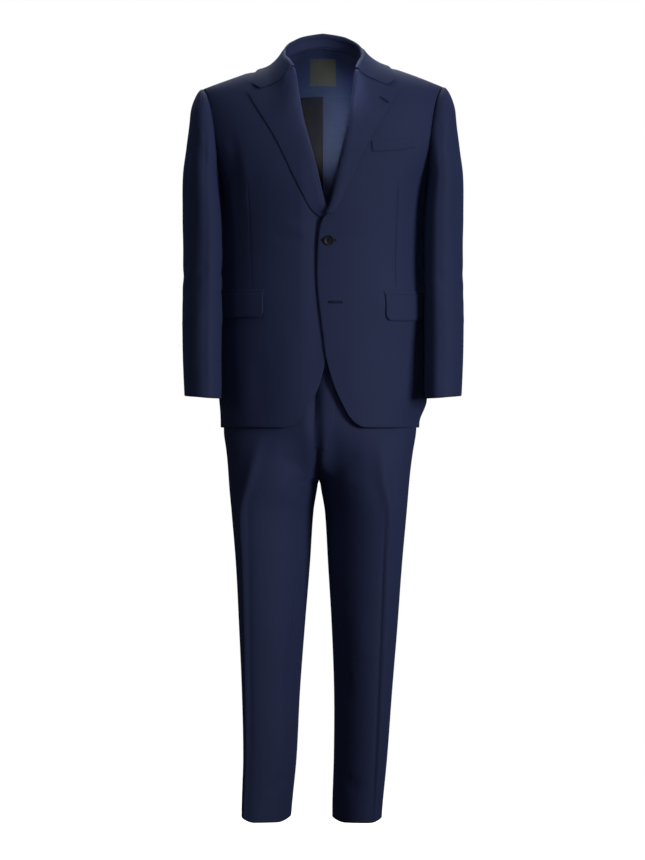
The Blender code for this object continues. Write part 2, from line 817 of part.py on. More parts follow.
def collar_and_lapels():
    across = [0.0, 0.04, 0.08, 0.13, 0.20, 0.28, 0.38, 0.54, 0.77, 1.0]
    pair("lapel", lapel("left"), lapel("right"), across, shares(12), "suiting", LAPEL_CLOTH)
    rows = [0.0, 0.08, 0.16, 0.24, 0.34, 0.50, 0.67, 0.84, 1.0]
    fall = downward(across_neck(collar_fall))
    wall("collar_fall", fall, shares(28), [1 - v for v in reversed(rows)], "suiting", COLLAR_CLOTH)
    wall("collar_stand", across_neck(collar_stand), shares(20), shares(2), "suiting", COLLAR_CLOTH)


# ---------------------------------------------------------------- inside the back

def inside_back(lift, half, top, foot):
    """A piece behind the back panels, between two heights; its face is towards the neck."""
    def point(u, v):
        out = mix(-half, half, u)
        line = between(SHOULDER, abs(out), "height")
        low = down_at(line - foot)
        high = down_at(line - top) if top else neckline(min(abs(out), NECK_POINT)) + FACING_START
        spot = (out, mix(low, high, v))
        normal = normal_at(shoulder, *spot)
        return shoulder(*spot) + (normal if normal.y > 0 else -normal) * lift
    return point


def lining(u, v):
    angle = mix(180.0, LINING_ANGLE, u)
    top, foot = down_to(angle, FACING_FOOT), down_to(angle, LINING_FOOT)
    return torso(angle, mix(foot, top, v))


def insides():
    facing = flipped(inside_back(FACING_LIFT, FACING_HALF, None, FACING_FOOT))
    wall("neck_facing", facing, shares(12), shares(6), "suiting", FINE_CLOTH)
    label = flipped(inside_back(LABEL_LIFT, LABEL_WIDTH / 2, LABEL_TOP, LABEL_FOOT))
    wall("label", label, shares(8), shares(8), "label", LABEL_CLOTH)
    half = lifted(flipped(lining), FACING_LIFT)
    pair("lining_back", half, half, shares(6), shares(10), "lining", FINE_CLOTH)


# ---------------------------------------------------------------- pockets

def flap(u, v):
    """Pocket flap, with its lower corners rounded; its lower edge stands off a little."""
    first = place(FLAP_START, FLAP_TOP)[0]
    angle = mix(first, first + FLAP_ANGLE, u)
    near = min(u, 1 - u) * FLAP_WIDTH
    corner = max(1 - near / FLAP_CORNER, 0.0)
    foot = FLAP_TOP - FLAP_HEIGHT + FLAP_CORNER * (1 - math.sqrt(max(1 - corner**2, 0.0)))
    return torso(angle, down_to(angle, mix(foot, FLAP_TOP, v)))


def jet(u, v):
    first = place(FLAP_START, FLAP_TOP)[0]
    angle = mix(first - JET_OVER, first + FLAP_ANGLE + JET_OVER, u)
    return torso(angle, down_to(angle, FLAP_TOP + SEAM_GAP + JET_HEIGHT * v))


def welt(u, v):
    out, height = WELT_START
    place_out = mix(out, WELT_END, u) - WELT_LEAN * v
    return front_face("left")(place_out, height + WELT_SLANT * u + WELT_HEIGHT * v)


def pockets():
    across = [0.0, 0.02, 0.05, 0.09, 0.3, 0.5, 0.7, 0.91, 0.95, 0.98, 1.0]
    flap_out = lifted(flap, lambda u, v: APPLIED_LIFT + FLAP_STAND * (1 - v))
    pair("pocket_flap", flap_out, flap_out, across, shares(2), "suiting", LAPEL_CLOTH)
    jet_out = lifted(jet, JET_LIFT)
    pair("pocket_jet", jet_out, jet_out, shares(11), shares(2), "suiting", LAPEL_CLOTH)
    wall("breast_welt", lifted(welt, APPLIED_LIFT), shares(12), shares(3), "suiting", LAPEL_CLOTH)


# ---------------------------------------------------------------- buttons

def button(name, centre, normal, radius, height, segments):
    """A dished round button with a raised rim, its back on the given point."""
    profile = (
        (0.90 * radius, 0.0), (radius, 0.30 * height), (radius, 0.72 * height),
        (0.92 * radius, height), (0.78 * radius, height), (0.66 * radius, 0.74 * height),
    )
    mesh = bmesh.new()
    side = normal.cross(Vector((0, 0, 1))).normalized()
    other = normal.cross(side).normalized()
    rings = []
    for across, up in profile:
        ring = []
        for i in range(segments):
            turn = 2 * math.pi * i / segments
            flat = side * math.cos(turn) + other * math.sin(turn)
            ring.append(mesh.verts.new(centre + flat * across + normal * up))
        rings.append(ring)
    for low, high in zip(rings, rings[1:]):
        for i in range(segments):
            j = (i + 1) % segments
            mesh.faces.new((low[i], low[j], high[j], high[i]))
    mesh.faces.new(reversed(rings[0]))
    mesh.faces.new(rings[-1])
    return add(name, mesh, "horn")


def buttons():
    left, right = front_face("left"), front_face("right")
    normal = normal_at(left, *TOP_BUTTON)
    centre = left(*TOP_BUTTON) + normal * BUTTON_STAND
    button("front_button", centre, normal, BUTTON_RADIUS, BUTTON_HEIGHT, BUTTON_SIDES)
    spot = (-LOWER_BUTTON[0], LOWER_BUTTON[1])
    normal = normal_at(right, *spot)
    centre = right(*spot) + normal * SEAM_GAP
    centre.x, normal.x = -centre.x, -normal.x
    button("lower_button", centre, normal, BUTTON_RADIUS, BUTTON_HEIGHT, BUTTON_SIDES)
    for i in range(CUFF_BUTTON_COUNT):
        height = CUFF + CUFF_BUTTON_FIRST + CUFF_BUTTON_PITCH * i
        normal = normal_at(sleeve_point, CUFF_BUTTON_ANGLE, height)
        centre = sleeve_point(CUFF_BUTTON_ANGLE, height)
        if normal.y < 0:
            normal = -normal
        centre = centre + normal * CUFF_BUTTON_STAND
        for side, way in (("left", 1), ("right", -1)):
            at = Vector((centre.x * way, centre.y, centre.z))
            out = Vector((normal.x * way, normal.y, normal.z))
            name = f"cuff_button_{side}_{i + 1}"
            button(name, at, out, CUFF_BUTTON_RADIUS, CUFF_BUTTON_HEIGHT, CUFF_BUTTON_SIDES)


# ---------------------------------------------------------------- trousers

def midline(side, height):
    middle = between(HIP, height, "middle")
    return middle if side == "left" else -middle


def hip_point(side, angle, height):
    section = {column: between(HIP, height, column) for column in Hip._fields[2:]}
    turn = math.radians(angle)
    across, along = abs(math.sin(turn)), abs(math.cos(turn))
    front = math.cos(turn) > 0
    depth = section["front"] + HIP_MIDDLE if front else section["back"] - HIP_MIDDLE
    total = (across / section["half_width"]) ** section["square"]
    total += (along / depth) ** section["square"]
    radius = total ** (-1 / section["square"])
    out = midline(side, height) + radius * math.sin(turn)
    return Vector((out, HIP_MIDDLE - radius * math.cos(turn), height))


def leg_turn(side, height):
    return math.radians(between(LEG, height, f"{side}_turn"))


def leg_width(side, height):
    """Half width across the crease that gives the leg its half width in front view."""
    depth = between(LEG, height, "half_depth")
    half = between(LEG, height, "half_width")
    turn = leg_turn(side, height)
    return math.sqrt(half**2 - (depth * math.sin(turn)) ** 2) / math.cos(turn)


def leg_point(side, around, height):
    """Point of a leg; around is 0 on the inside, 90 on the front crease, 270 on the back one."""
    turn = leg_turn(side, height)
    across = leg_width(side, height) * math.cos(math.radians(around))
    along = between(LEG, height, "half_depth") * math.sin(math.radians(around))
    nearest = min(abs(around - 90), abs(around - 270))
    along *= 1 + CREASE_SIZE * math.exp(-((nearest / CREASE_SPREAD) ** 2))
    return Vector((
        between(LEG, height, side) - across * math.cos(turn) + along * math.sin(turn),
        between(LEG, height, "depth") - across * math.sin(turn) - along * math.cos(turn),
        height,
    ))


def trouser_height(v):
    if v < CROTCH_ROW:
        return mix(TROUSER_HEM, CROTCH, v / CROTCH_ROW)
    return mix(CROTCH, WAIST, (v - CROTCH_ROW) / (1 - CROTCH_ROW))


def trouser_at(side, front, u, height):
    """Trouser panel: u is 0 at the centre or inside seam, 0.5 on the crease, 1 at the side."""
    settled = ease((CROTCH - height) / INSEAM_SETTLE)
    slant = leg_width(side, height) / between(LEG, height, "half_depth")
    seam = math.degrees(math.atan(math.tan(leg_turn(side, height)) / slant)) * (1 - settled)
    inside, outside = -seam, 180 - seam
    crease, middle = 90.0, 0.0
    hip_crease = HIP_CREASE_ANGLE
    if not front:
        inside, crease, middle = 360 + inside, 270.0, 180.0
        hip_crease = 180.0 - HIP_CREASE_ANGLE
    if u < 0.5:
        around, angle = mix(inside, crease, 2 * u), mix(middle, hip_crease, 2 * u)
    else:
        around, angle = mix(crease, outside, 2 * u - 1), mix(hip_crease, 90.0, 2 * u - 1)
    leg = leg_point(side, around, height)
    if height <= CROTCH:
        return leg
    run = min(max((SEAT_START - height) / (SEAT_START - CROTCH), 0.0), 1.0)
    share = mix(1 - math.sqrt(1 - run**2), ease(run), ease(u / CROTCH_REACH))
    spot = hip_point(side, angle, height).lerp(leg, share)
    spot.x = max(spot.x, midline(side, height))
    return spot


def trouser_panel(side, front):
    def point(u, v):
        return trouser_at(side, front, u, trouser_height(v))
    return point if front else flipped(point)


def trouser_wall(name, side, front):
    def hold(spot):
        least = midline(side, spot.z) + SEAM_GAP / 2
        return Vector((max(spot.x, least), spot.y, spot.z))
    across = [0.0, 0.14, 0.30, 0.42, 0.5, 0.58, 0.72, 0.86, 1.0]
    rise = [CROTCH_ROW + (1 - CROTCH_ROW) * (i / 7) ** 1.6 for i in range(8)]
    up = [CROTCH_ROW * i / 12 for i in range(12)] + rise
    if not front:
        across = [1 - u for u in reversed(across)]
    item = wall(f"{name}_{side}", trouser_panel(side, front), across, up, "suiting", CLOTH, hold)
    if side == "right":
        for vertex in item.data.vertices:
            vertex.co.x = -vertex.co.x
        item.data.flip_normals()


def waistband(side):
    def point(u, v):
        return hip_point(side, 180 * u, WAIST + WAISTBAND_HEIGHT * v)
    return point


def fly(u, v):
    height = mix(FLY_FOOT, WAIST - FLY_TOP_GAP, v)
    middle = midline("left", height)
    away = mix(-FLY_OVER, FLY_IN * mix(FLY_FOOT_SHARE, 1.0, ease(v / FLY_CURVE)), u)
    side = "left" if away >= 0 else "right"
    low, high = 0.0, 0.5
    for _ in range(HALVINGS):
        half = (low + high) / 2
        spot = trouser_at(side, True, half, height)
        if spot.x - midline(side, height) < abs(away):
            low = half
        else:
            high = half
    return Vector((middle + away, spot.y, height))


def trousers():
    for side in ("left", "right"):
        trouser_wall("trouser_front", side, True)
        trouser_wall("trouser_back", side, False)
    pair("waistband", waistband("left"), waistband("right"), shares(14), shares(1), "suiting")
    wall("fly", lifted(fly, FLY_LIFT), shares(4), shares(8), "suiting", FINE_CLOTH)


def main():
    clear_scene()
    jacket_body()
    sleeves()
    collar_and_lapels()
    insides()
    pockets()
    buttons()
    trousers()


main()
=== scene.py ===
"""Two-piece suit: a notch-lapel jacket, buttoned, over straight trousers.

Each sheet of cloth lies on one of the suit's own forms: the jacket's torso, a sleeve or the
trousers. Metres, +Z up, the front faces -Y, the wearer's left is +X, the origin is the nape.
"""

import math
from collections import namedtuple

import bmesh
import bpy
import numpy as np
from mathutils import Matrix, Vector


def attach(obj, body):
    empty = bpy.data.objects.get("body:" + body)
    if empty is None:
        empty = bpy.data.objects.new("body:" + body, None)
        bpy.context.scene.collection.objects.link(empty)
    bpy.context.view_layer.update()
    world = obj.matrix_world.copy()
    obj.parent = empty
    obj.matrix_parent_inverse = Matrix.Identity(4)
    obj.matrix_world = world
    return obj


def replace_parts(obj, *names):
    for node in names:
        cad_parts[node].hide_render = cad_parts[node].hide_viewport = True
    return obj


bl_info = {
    "name": "Two-piece suit",
    "version": (1, 0, 0),
    "blender": (4, 5, 0),
    "location": "View3D > Sidebar > Suit",
    "description": "Builds a buttoned suit jacket and its trousers on their packed frame",
    "category": "Add Mesh",
}

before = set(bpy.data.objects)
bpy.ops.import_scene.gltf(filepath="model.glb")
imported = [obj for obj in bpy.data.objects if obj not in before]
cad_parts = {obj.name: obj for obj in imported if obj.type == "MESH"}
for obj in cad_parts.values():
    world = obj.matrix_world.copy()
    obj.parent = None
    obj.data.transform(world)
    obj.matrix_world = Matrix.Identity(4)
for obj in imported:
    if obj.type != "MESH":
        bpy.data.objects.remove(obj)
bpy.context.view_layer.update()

# Cloth and seams
CLOTH = 0.0018
FINE_CLOTH = 0.0012
SEAM_GAP = 0.0003
STEP = 1e-4
EDGE_PROBE = 0.01

# Jacket form: half width, front depth and back depth of the torso at each height
Torso = namedtuple("Torso", "height half_width front back middle square")
TORSO = (
    Torso(-0.770, 0.2050, 0.120, 0.140, 0.026, 2.10),
    Torso(-0.690, 0.2050, 0.119, 0.138, 0.026, 2.10),
    Torso(-0.600, 0.2030, 0.117, 0.131, 0.026, 2.12),
    Torso(-0.500, 0.2000, 0.116, 0.119, 0.025, 2.15),
    Torso(-0.420, 0.1985, 0.117, 0.111, 0.024, 2.15),
    Torso(-0.350, 0.1990, 0.123, 0.117, 0.022, 2.20),
    Torso(-0.300, 0.2010, 0.129, 0.126, 0.018, 2.24),
    Torso(-0.265, 0.2050, 0.132, 0.132, 0.012, 2.30),
    Torso(-0.230, 0.2160, 0.132, 0.137, 0.006, 2.36),
    Torso(-0.190, 0.2300, 0.130, 0.140, 0.000, 2.40),
    Torso(-0.140, 0.2380, 0.125, 0.139, 0.000, 2.40),
    Torso(-0.080, 0.2410, 0.118, 0.134, 0.000, 2.40),
    Torso(0.040, 0.2410, 0.110, 0.128, 0.000, 2.40),
)
Shoulder = namedtuple("Shoulder", "out height depth")
SHOULDER = (
    Shoulder(-0.040, 0.026, 0.022),
    Shoulder(0.000, 0.034, 0.022),
    Shoulder(0.040, 0.021, 0.021),
    Shoulder(0.080, -0.009, 0.020),
    Shoulder(0.110, -0.026, 0.017),
    Shoulder(0.160, -0.045, 0.012),
    Shoulder(0.241, -0.077, 0.005),
    Shoulder(0.300, -0.100, 0.004),
)
SHOULDER_ROUND = 0.130
FORM_ROUNDS = 5
NECK_POINT, NECK_HEIGHT = SHOULDER[3].out, SHOULDER[3].height
NAPE = 0.004
NECK_SHARE = 1 / 3
HEM = -0.753

# Front edges: distance from the midline of each front, from the neck to the cut-away corner
Edge = namedtuple("Edge", "height left right")
FRONT_EDGE = (
    Edge(-0.009, 0.080, 0.080),
    Edge(-0.045, 0.069, 0.061),
    Edge(-0.095, 0.062, 0.052),
    Edge(-0.140, 0.055, 0.043),
    Edge(-0.200, 0.044, 0.027),
    Edge(-0.262, 0.028, 0.009),
    Edge(-0.310, 0.008, -0.012),
    Edge(-0.350, -0.005, -0.028),
    Edge(-0.410, -0.011, -0.033),
    Edge(-0.482, -0.010, -0.031),
    Edge(-0.566, 0.000, -0.021),
    Edge(-0.618, 0.007, -0.006),
    Edge(-0.680, 0.026, 0.012),
    Edge(-0.728, 0.050, 0.040),
)
CORNER_RUN = 0.036
Under = namedtuple("Under", "height depth")
UNDER_FRONT = (
    Under(-0.760, 0.0045),
    Under(-0.620, 0.0050),
    Under(-0.500, 0.0072),
    Under(-0.400, 0.0100),
    Under(-0.310, 0.0125),
    Under(-0.240, 0.0080),
    Under(-0.120, 0.0000),
    Under(0.040, 0.0000),
)
UNDER_REACH = 0.048

# Armhole, and the seams of the side panel, as angles round the torso from the front
ARMHOLE_SHARE = 0.70
ARMHOLE_HALF_ANGLE = 14.5
ARMHOLE_EGG = 0.35
ARMHOLE_LEAN = 1.0
ARMHOLE_BOTTOM = 1.26
FRONT_SEAM_AT = 125.0
BACK_SEAM_AT = 235.0
FRONT_SEAM_HEM_ANGLE = 72.0
BACK_SEAM_HEM_ANGLE = 114.0

# Sleeve form
Sleeve = namedtuple("Sleeve", "height out depth half_width half_depth turn")
SLEEVE = (
    Sleeve(-0.060, 0.2300, -0.001, 0.0240, 0.058, 0.0),
    Sleeve(-0.110, 0.2330, -0.002, 0.0305, 0.067, 2.0),
    Sleeve(-0.150, 0.2350, -0.003, 0.0325, 0.072, 4.0),
    Sleeve(-0.190, 0.2385, -0.004, 0.0340, 0.076, 5.0),
    Sleeve(-0.250, 0.2440, -0.005, 0.0345, 0.078, 6.0),
    Sleeve(-0.330, 0.2425, -0.006, 0.0360, 0.075, 8.0),
    Sleeve(-0.430, 0.2420, -0.009, 0.0372, 0.071, 8.0),
    Sleeve(-0.520, 0.2430, -0.016, 0.0375, 0.068, 8.0),
    Sleeve(-0.610, 0.2430, -0.030, 0.0365, 0.065, 8.0),
    Sleeve(-0.710, 0.2400, -0.048, 0.0350, 0.062, 8.0),
)
SLEEVE_HEAD = 0.050
SLEEVE_SIDE_ROUND = 0.085
SLEEVE_STAND = 0.022
CUFF = -0.690
CUFF_SLANT = 0.005
SLEEVE_FRONT_SEAM = 118.0
SLEEVE_BACK_SEAM = 242.0

# Lapel and collar; along is the distance across the shoulder seam, in shoulder rounds
GORGE_OUT = 0.069
GORGE_HEIGHT = -0.042
Lapel = namedtuple("Lapel", "height out")
LAPEL_EDGE = (
    Lapel(-0.345, -0.010),
    Lapel(-0.322, 0.010),
    Lapel(-0.298, 0.029),
    Lapel(-0.250, 0.059),
    Lapel(-0.205, 0.080),
    Lapel(-0.150, 0.110),
    Lapel(-0.084, 0.151),
)
LAPEL_TIP = -0.084
LAPEL_FOOT = {"left": -0.308, "right": -0.319}
LAPEL_FOOT_WIDTH = 0.004
LAPEL_CLOTH = 0.0014
Roll = namedtuple("Roll", "share back lift")
LAPEL_ROLL = (
    Roll(0.00, 0.0008, -0.0044),
    Roll(0.07, 0.0032, -0.0042),
    Roll(0.14, 0.0050, -0.0020),
    Roll(0.22, 0.0048, 0.0020),
    Roll(0.30, 0.0016, 0.0054),
    Roll(0.40, -0.0070, 0.0066),
)
LAPEL_EDGE_LIFT = 0.0030
Collar = namedtuple("Collar", "share stand edge_out edge_along")
COLLAR = (
    Collar(0.00, 0.0240, 0.000, 0.640),
    Collar(0.15, 0.0240, 0.040, 0.605),
    Collar(0.30, 0.0225, 0.078, 0.470),
    Collar(0.42, 0.0195, 0.104, 0.260),
    Collar(0.50, 0.0165, 0.117, 0.090),
    Collar(0.66, 0.0110, 0.131, -0.130),
    Collar(0.84, 0.0060, 0.139, -0.290),
    Collar(1.00, 0.0032, 0.143, -0.405),
)
COLLAR_POINT = (0.143, -0.064)
NOTCH_ALONG = 0.695
NOTCH_SHARE = 0.76
COLLAR_LIFT = 0.0036
GORGE_SINK = 0.0009
COLLAR_CLOTH = 0.0014
COLLAR_FALL_POWER = 1.4
COLLAR_FLAT_FROM = 0.50
COLLAR_FLAT_RUN = 0.35
COLLAR_GORGE_FROM = 0.80
STAND_IN = 0.0016
STAND_END = 0.76
STAND_TOP = 0.0030
STAND_DROP = 0.0050
STAND_DROP_FROM = 0.50
STAND_DROP_RUN = 0.25
Crest = namedtuple("Crest", "share inward fall")
COLLAR_CREST = (
    Crest(0.00, 0.0050, 0.0085),
    Crest(0.08, 0.0062, 0.0040),
    Crest(0.16, 0.0046, 0.0004),
    Crest(0.24, 0.0018, -0.0006),
    Crest(0.34, 0.0000, 0.0000),
)

# Pockets, buttons and label
FLAP_TOP = -0.486
FLAP_HEIGHT = 0.052
FLAP_START = 0.119
FLAP_ANGLE = 41.0
FLAP_CORNER = 0.013
FLAP_WIDTH = 0.145
FLAP_STAND = 0.0014
JET_OVER = 0.6
JET_HEIGHT = 0.006
WELT_START = (0.099, -0.202)
WELT_END = 0.184
WELT_HEIGHT = 0.021
WELT_SLANT = 0.010
WELT_LEAN = 0.002
BUTTON_RADIUS = 0.010
BUTTON_HEIGHT = 0.0026
BUTTON_SIDES = 64
BUTTON_STAND = 0.0012
TOP_BUTTON = (0.0115, -0.381)
LOWER_BUTTON = (0.0110, -0.501)
CUFF_BUTTON_RADIUS = 0.0070
CUFF_BUTTON_HEIGHT = 0.0022
CUFF_BUTTON_STAND = 0.0006
CUFF_BUTTON_SIDES = 40
CUFF_BUTTON_FIRST = 0.040
CUFF_BUTTON_PITCH = 0.0155
CUFF_BUTTON_COUNT = 4
CUFF_BUTTON_ANGLE = 254.0
APPLIED_LIFT = 0.0030
JET_LIFT = 0.0024
FACING_LIFT = -0.0044
LABEL_LIFT = -0.0066
FACING_FOOT = -0.090
FACING_START = 0.03
EVEN_REACH = (-0.12, -0.08, -0.04, 0.0, 0.04, 0.08, 0.12)
FACING_HALF = 0.086
LINING_ANGLE = 126.0
LINING_FOOT = -0.730
LABEL_CLOTH = 0.0010
LABEL_WIDTH = 0.054
LABEL_TOP = -0.014
LABEL_FOOT = -0.069

# Trousers
Hip = namedtuple("Hip", "height middle half_width front back square")
HIP = (
    Hip(-0.560, 0.000, 0.162, 0.092, 0.104, 2.1),
    Hip(-0.640, 0.000, 0.176, 0.100, 0.116, 2.1),
    Hip(-0.700, -0.003, 0.187, 0.105, 0.125, 2.1),
    Hip(-0.758, -0.006, 0.193, 0.107, 0.129, 2.1),
    Hip(-0.806, -0.007, 0.188, 0.107, 0.129, 2.5),
    Hip(-0.858, -0.008, 0.183, 0.106, 0.126, 2.9),
    Hip(-0.940, -0.008, 0.180, 0.106, 0.122, 2.9),
)
Leg = namedtuple("Leg", "height left right half_width half_depth depth left_turn right_turn")
LEG = (
    Leg(-0.760, 0.0900, 0.1000, 0.0930, 0.106, 0.010, 12.0, 16.0),
    Leg(-0.858, 0.0835, 0.0990, 0.0895, 0.108, 0.010, 20.0, 26.0),
    Leg(-0.920, 0.0855, 0.1008, 0.0820, 0.106, 0.009, 26.0, 35.0),
    Leg(-1.026, 0.0840, 0.1000, 0.0740, 0.095, 0.006, 28.0, 38.0),
    Leg(-1.154, 0.0830, 0.1020, 0.0655, 0.083, 0.000, 30.0, 40.0),
    Leg(-1.282, 0.0800, 0.1040, 0.0580, 0.074, 0.000, 31.0, 42.0),
    Leg(-1.410, 0.0750, 0.1060, 0.0535, 0.068, 0.004, 33.0, 43.0),
    Leg(-1.506, 0.0690, 0.1120, 0.0505, 0.064, 0.008, 34.0, 44.0),
    Leg(-1.560, 0.0675, 0.1140, 0.0490, 0.063, 0.009, 34.0, 44.0),
)
HIP_MIDDLE = 0.015
WAIST = -0.600
CROTCH = -0.858
SEAT_START = -0.742
TROUSER_HEM = -1.542
CREASE_SIZE = 0.055
CREASE_SPREAD = 9.0
HIP_CREASE_ANGLE = 50.0
INSEAM_SETTLE = 0.240
WAISTBAND_HEIGHT = 0.038
FLY_FOOT = -0.800
CROTCH_ROW = 0.72
CROTCH_REACH = 0.36
FLY_OVER = 0.011
FLY_IN = 0.027
FLY_TOP_GAP = 0.001
FLY_FOOT_SHARE = 0.5
FLY_CURVE = 0.25
HALVINGS = 24


# ---------------------------------------------------------------- numbers and points

TRACKS = {}


def track(rows, column):
    """Keys, values and slopes of one column of a table, kept for the next call."""
    name = (id(rows), column)
    if name not in TRACKS:
        ordered = sorted(rows)
        keys = np.array([row[0] for row in ordered])
        values = np.array([getattr(row, column) for row in ordered])
        after = np.minimum(np.arange(len(keys)) + 1, len(keys) - 1)
        before = np.maximum(np.arange(len(keys)) - 1, 0)
        slopes = (values[after] - values[before]) / (keys[after] - keys[before])
        TRACKS[name] = (keys, values, slopes)
    return TRACKS[name]


def between(rows, at, column):
    """A column's value on a smooth curve through the rows; the first column says where."""
    keys, values, slopes = track(rows, column)
    at = np.clip(at, keys[0], keys[-1])
    low = np.clip(np.searchsorted(keys, at, side="right") - 1, 0, len(keys) - 2)
    run = keys[low + 1] - keys[low]
    t = (at - keys[low]) / run
    start, end = slopes[low] * run, slopes[low + 1] * run
    rise = values[low + 1] - values[low]
    return values[low] + t * (start + t * (3 * rise - 2 * start - end + t * (start + end - 2 * rise)))


def ease(share):
    share = np.clip(share, 0.0, 1.0)
    return share * share * (3 - 2 * share)


def mix(first, second, share):
    return first + (second - first) * share


def point_at(*parts):
    return np.stack(np.broadcast_arrays(*parts), axis=-1).astype(float)


def unit(vectors):
    return vectors / np.maximum(np.linalg.norm(vectors, axis=-1, keepdims=True), 1e-12)


def shares(count):
    return np.linspace(0.0, 1.0, count + 1)


# ---------------------------------------------------------------- torso

def section_depth(section, out, back):
    """Distance in front of or behind the middle at a distance out, on one torso section."""
    reach = np.minimum(np.abs(out) / section.half_width, 1.0)
    depth = np.where(back, section.back - section.middle, -section.front - section.middle)
    return section.middle + depth * (1 - reach**section.square) ** (1 / section.square)


def torso_section(height):
    values = [between(TORSO, height, column) for column in Torso._fields[1:]]
    return Torso(height, *values)


def torso_radius(section, angle):
    across, along = np.abs(np.sin(angle)), np.abs(np.cos(angle))
    front = np.cos(angle) > 0
    depth = np.where(front, section.front + section.middle, section.back - section.middle)
    total = (across / section.half_width) ** section.square + (along / depth) ** section.square
    return total ** (-1 / section.square)


def drop_at(down):
    """Drop below the shoulder line at a distance down the surface, in shoulder rounds."""
    down = np.abs(down)
    near = SHOULDER_ROUND * (1 - np.cos(np.minimum(down, 1.0) * math.pi / 2))
    return near + SHOULDER_ROUND * np.maximum(down - 1, 0.0) * math.pi / 2


def down_at(drop):
    near = np.arccos(1 - np.clip(drop / SHOULDER_ROUND, 0.0, 1.0)) / (math.pi / 2)
    return near + np.maximum(drop / SHOULDER_ROUND - 1, 0.0) / (math.pi / 2)


def shoulder_height(out):
    return between(SHOULDER, np.abs(out), "height")


def down_from(out, height):
    """Distance down the surface to a height, at a distance out."""
    return down_at(shoulder_height(out) - height)


def neck_angle(back):
    """Angle of the neck point, seen on the front or the back of the torso."""
    return place(NECK_POINT, NECK_HEIGHT, back)[0]


def nape_down():
    return down_from(0.0, NAPE)


def rounded(depth, out, down):
    """Depth pulled in to the shoulder seam near the shoulder line."""
    seam = between(SHOULDER, out, "depth")
    return seam + (depth - seam) * np.sin(np.clip(down, -1.0, 1.0) * math.pi / 2)


def torso(angle, down):
    """Point of the left half at an angle from the front (degrees) and a distance down."""
    turn = np.radians(angle)
    height = -drop_at(down)
    for _ in range(FORM_ROUNDS):
        section = torso_section(height)
        radius = torso_radius(section, turn)
        height = shoulder_height(radius * np.sin(turn)) - drop_at(down)
    out = radius * np.sin(turn)
    depth = rounded(section.middle - radius * np.cos(turn), np.abs(out), down)
    return point_at(out, depth, height)


def place(out, height, back=False):
    """Angle and distance down of the torso point at a front-view place."""
    section = torso_section(height)
    depth = section_depth(section, out, back)
    angle = np.degrees(np.arctan2(out, section.middle - depth))
    return angle, down_from(out, height)


def shoulder(out, along):
    """Point near the shoulder: along is 0 on the seam, positive down the back."""
    height = shoulder_height(out) - drop_at(along)
    section = torso_section(height)
    depth = section_depth(section, out, np.asarray(along) > 0)
    return point_at(out, rounded(depth, np.abs(out), np.abs(along)), height)


def armhole(turn):
    """Angle and distance down of the armhole edge; turn 0 is its top and 90 its front."""
    across, up = np.sin(np.radians(turn)), np.cos(np.radians(turn))
    angle = 90 - ARMHOLE_LEAN * (1 - up) / 2 - ARMHOLE_HALF_ANGLE * across * (1 - ARMHOLE_EGG * up)
    return angle, ARMHOLE_BOTTOM * (1 - up) / 2


def patch(left, right, bottom, top):
    """Torso panel between four edges, each giving an angle and a distance down."""
    def point(across, up):
        corners = (left(0.0), right(0.0), left(1.0), right(1.0))
        sides = zip(left(up), right(up), bottom(across), top(across))
        spot = []
        for i, (first, second, foot, head) in enumerate(sides):
            low = mix(corners[0][i], corners[1][i], across)
            high = mix(corners[2][i], corners[3][i], across)
            spot.append(mix(first, second, across) + mix(foot, head, up) - mix(low, high, up))
        return torso(*spot)
    return point


def normal_at(point, u, v):
    across = point(u + STEP, v) - point(u - STEP, v)
    up = point(u, v + STEP) - point(u, v - STEP)
    return unit(np.cross(across, up))


def lifted(point, lift):
    """The same surface moved out by a distance, which may change over it."""
    def moved(u, v):
        amount = lift(u, v) if callable(lift) else lift
        return point(u, v) + normal_at(point, u, v) * np.asarray(amount)[..., None]
    return moved


def flipped(point):
    return lambda u, v: point(1 - u, v)


# ---------------------------------------------------------------- jacket body

def front_edge(side):
    """Front edge of a forepart, from the cut-away corner at 0 to the neck point at 1."""
    low, high = FRONT_EDGE[-1].height, FRONT_EDGE[0].height
    foot = place(getattr(FRONT_EDGE[-1], side), low)[1]

    def edge(up):
        down = mix(foot, 0.0, up)
        height = high - drop_at(down)
        for _ in range(FORM_ROUNDS):
            out = between(FRONT_EDGE, np.clip(height, low, high), side)
            height = shoulder_height(out) - drop_at(down)
        return place(out, height)[0], down
    return edge


def down_to(angle, height):
    """Distance down the torso to a height, at an angle."""
    turn = np.radians(angle)
    return down_from(torso_radius(torso_section(height), turn) * np.sin(turn), height)


def front_hem(side):
    start, corner = getattr(FRONT_EDGE[-1], side), FRONT_EDGE[-1].height
    first = place(start, corner)[0]

    def hem(across):
        angle = mix(first, FRONT_SEAM_HEM_ANGLE, across)
        turn = np.radians(angle)
        out = torso_radius(torso_section(HEM), turn) * np.sin(turn)
        run = np.clip((out - start) / CORNER_RUN, 0.0, 1.0)
        return angle, down_to(angle, corner + (HEM - corner) * (1 - (1 - run) ** 2))
    return hem


def shoulder_seam(across):
    return mix(neck_angle(False), 90.0, across), 0.0 * across


def seam_line(turn, hem_angle):
    """Side seam from the hem at 0 up to the armhole at 1."""
    angle, down = armhole(turn)
    foot = down_to(hem_angle, HEM)

    def seam(up):
        return mix(hem_angle, angle, up), mix(foot, down, up)
    return seam


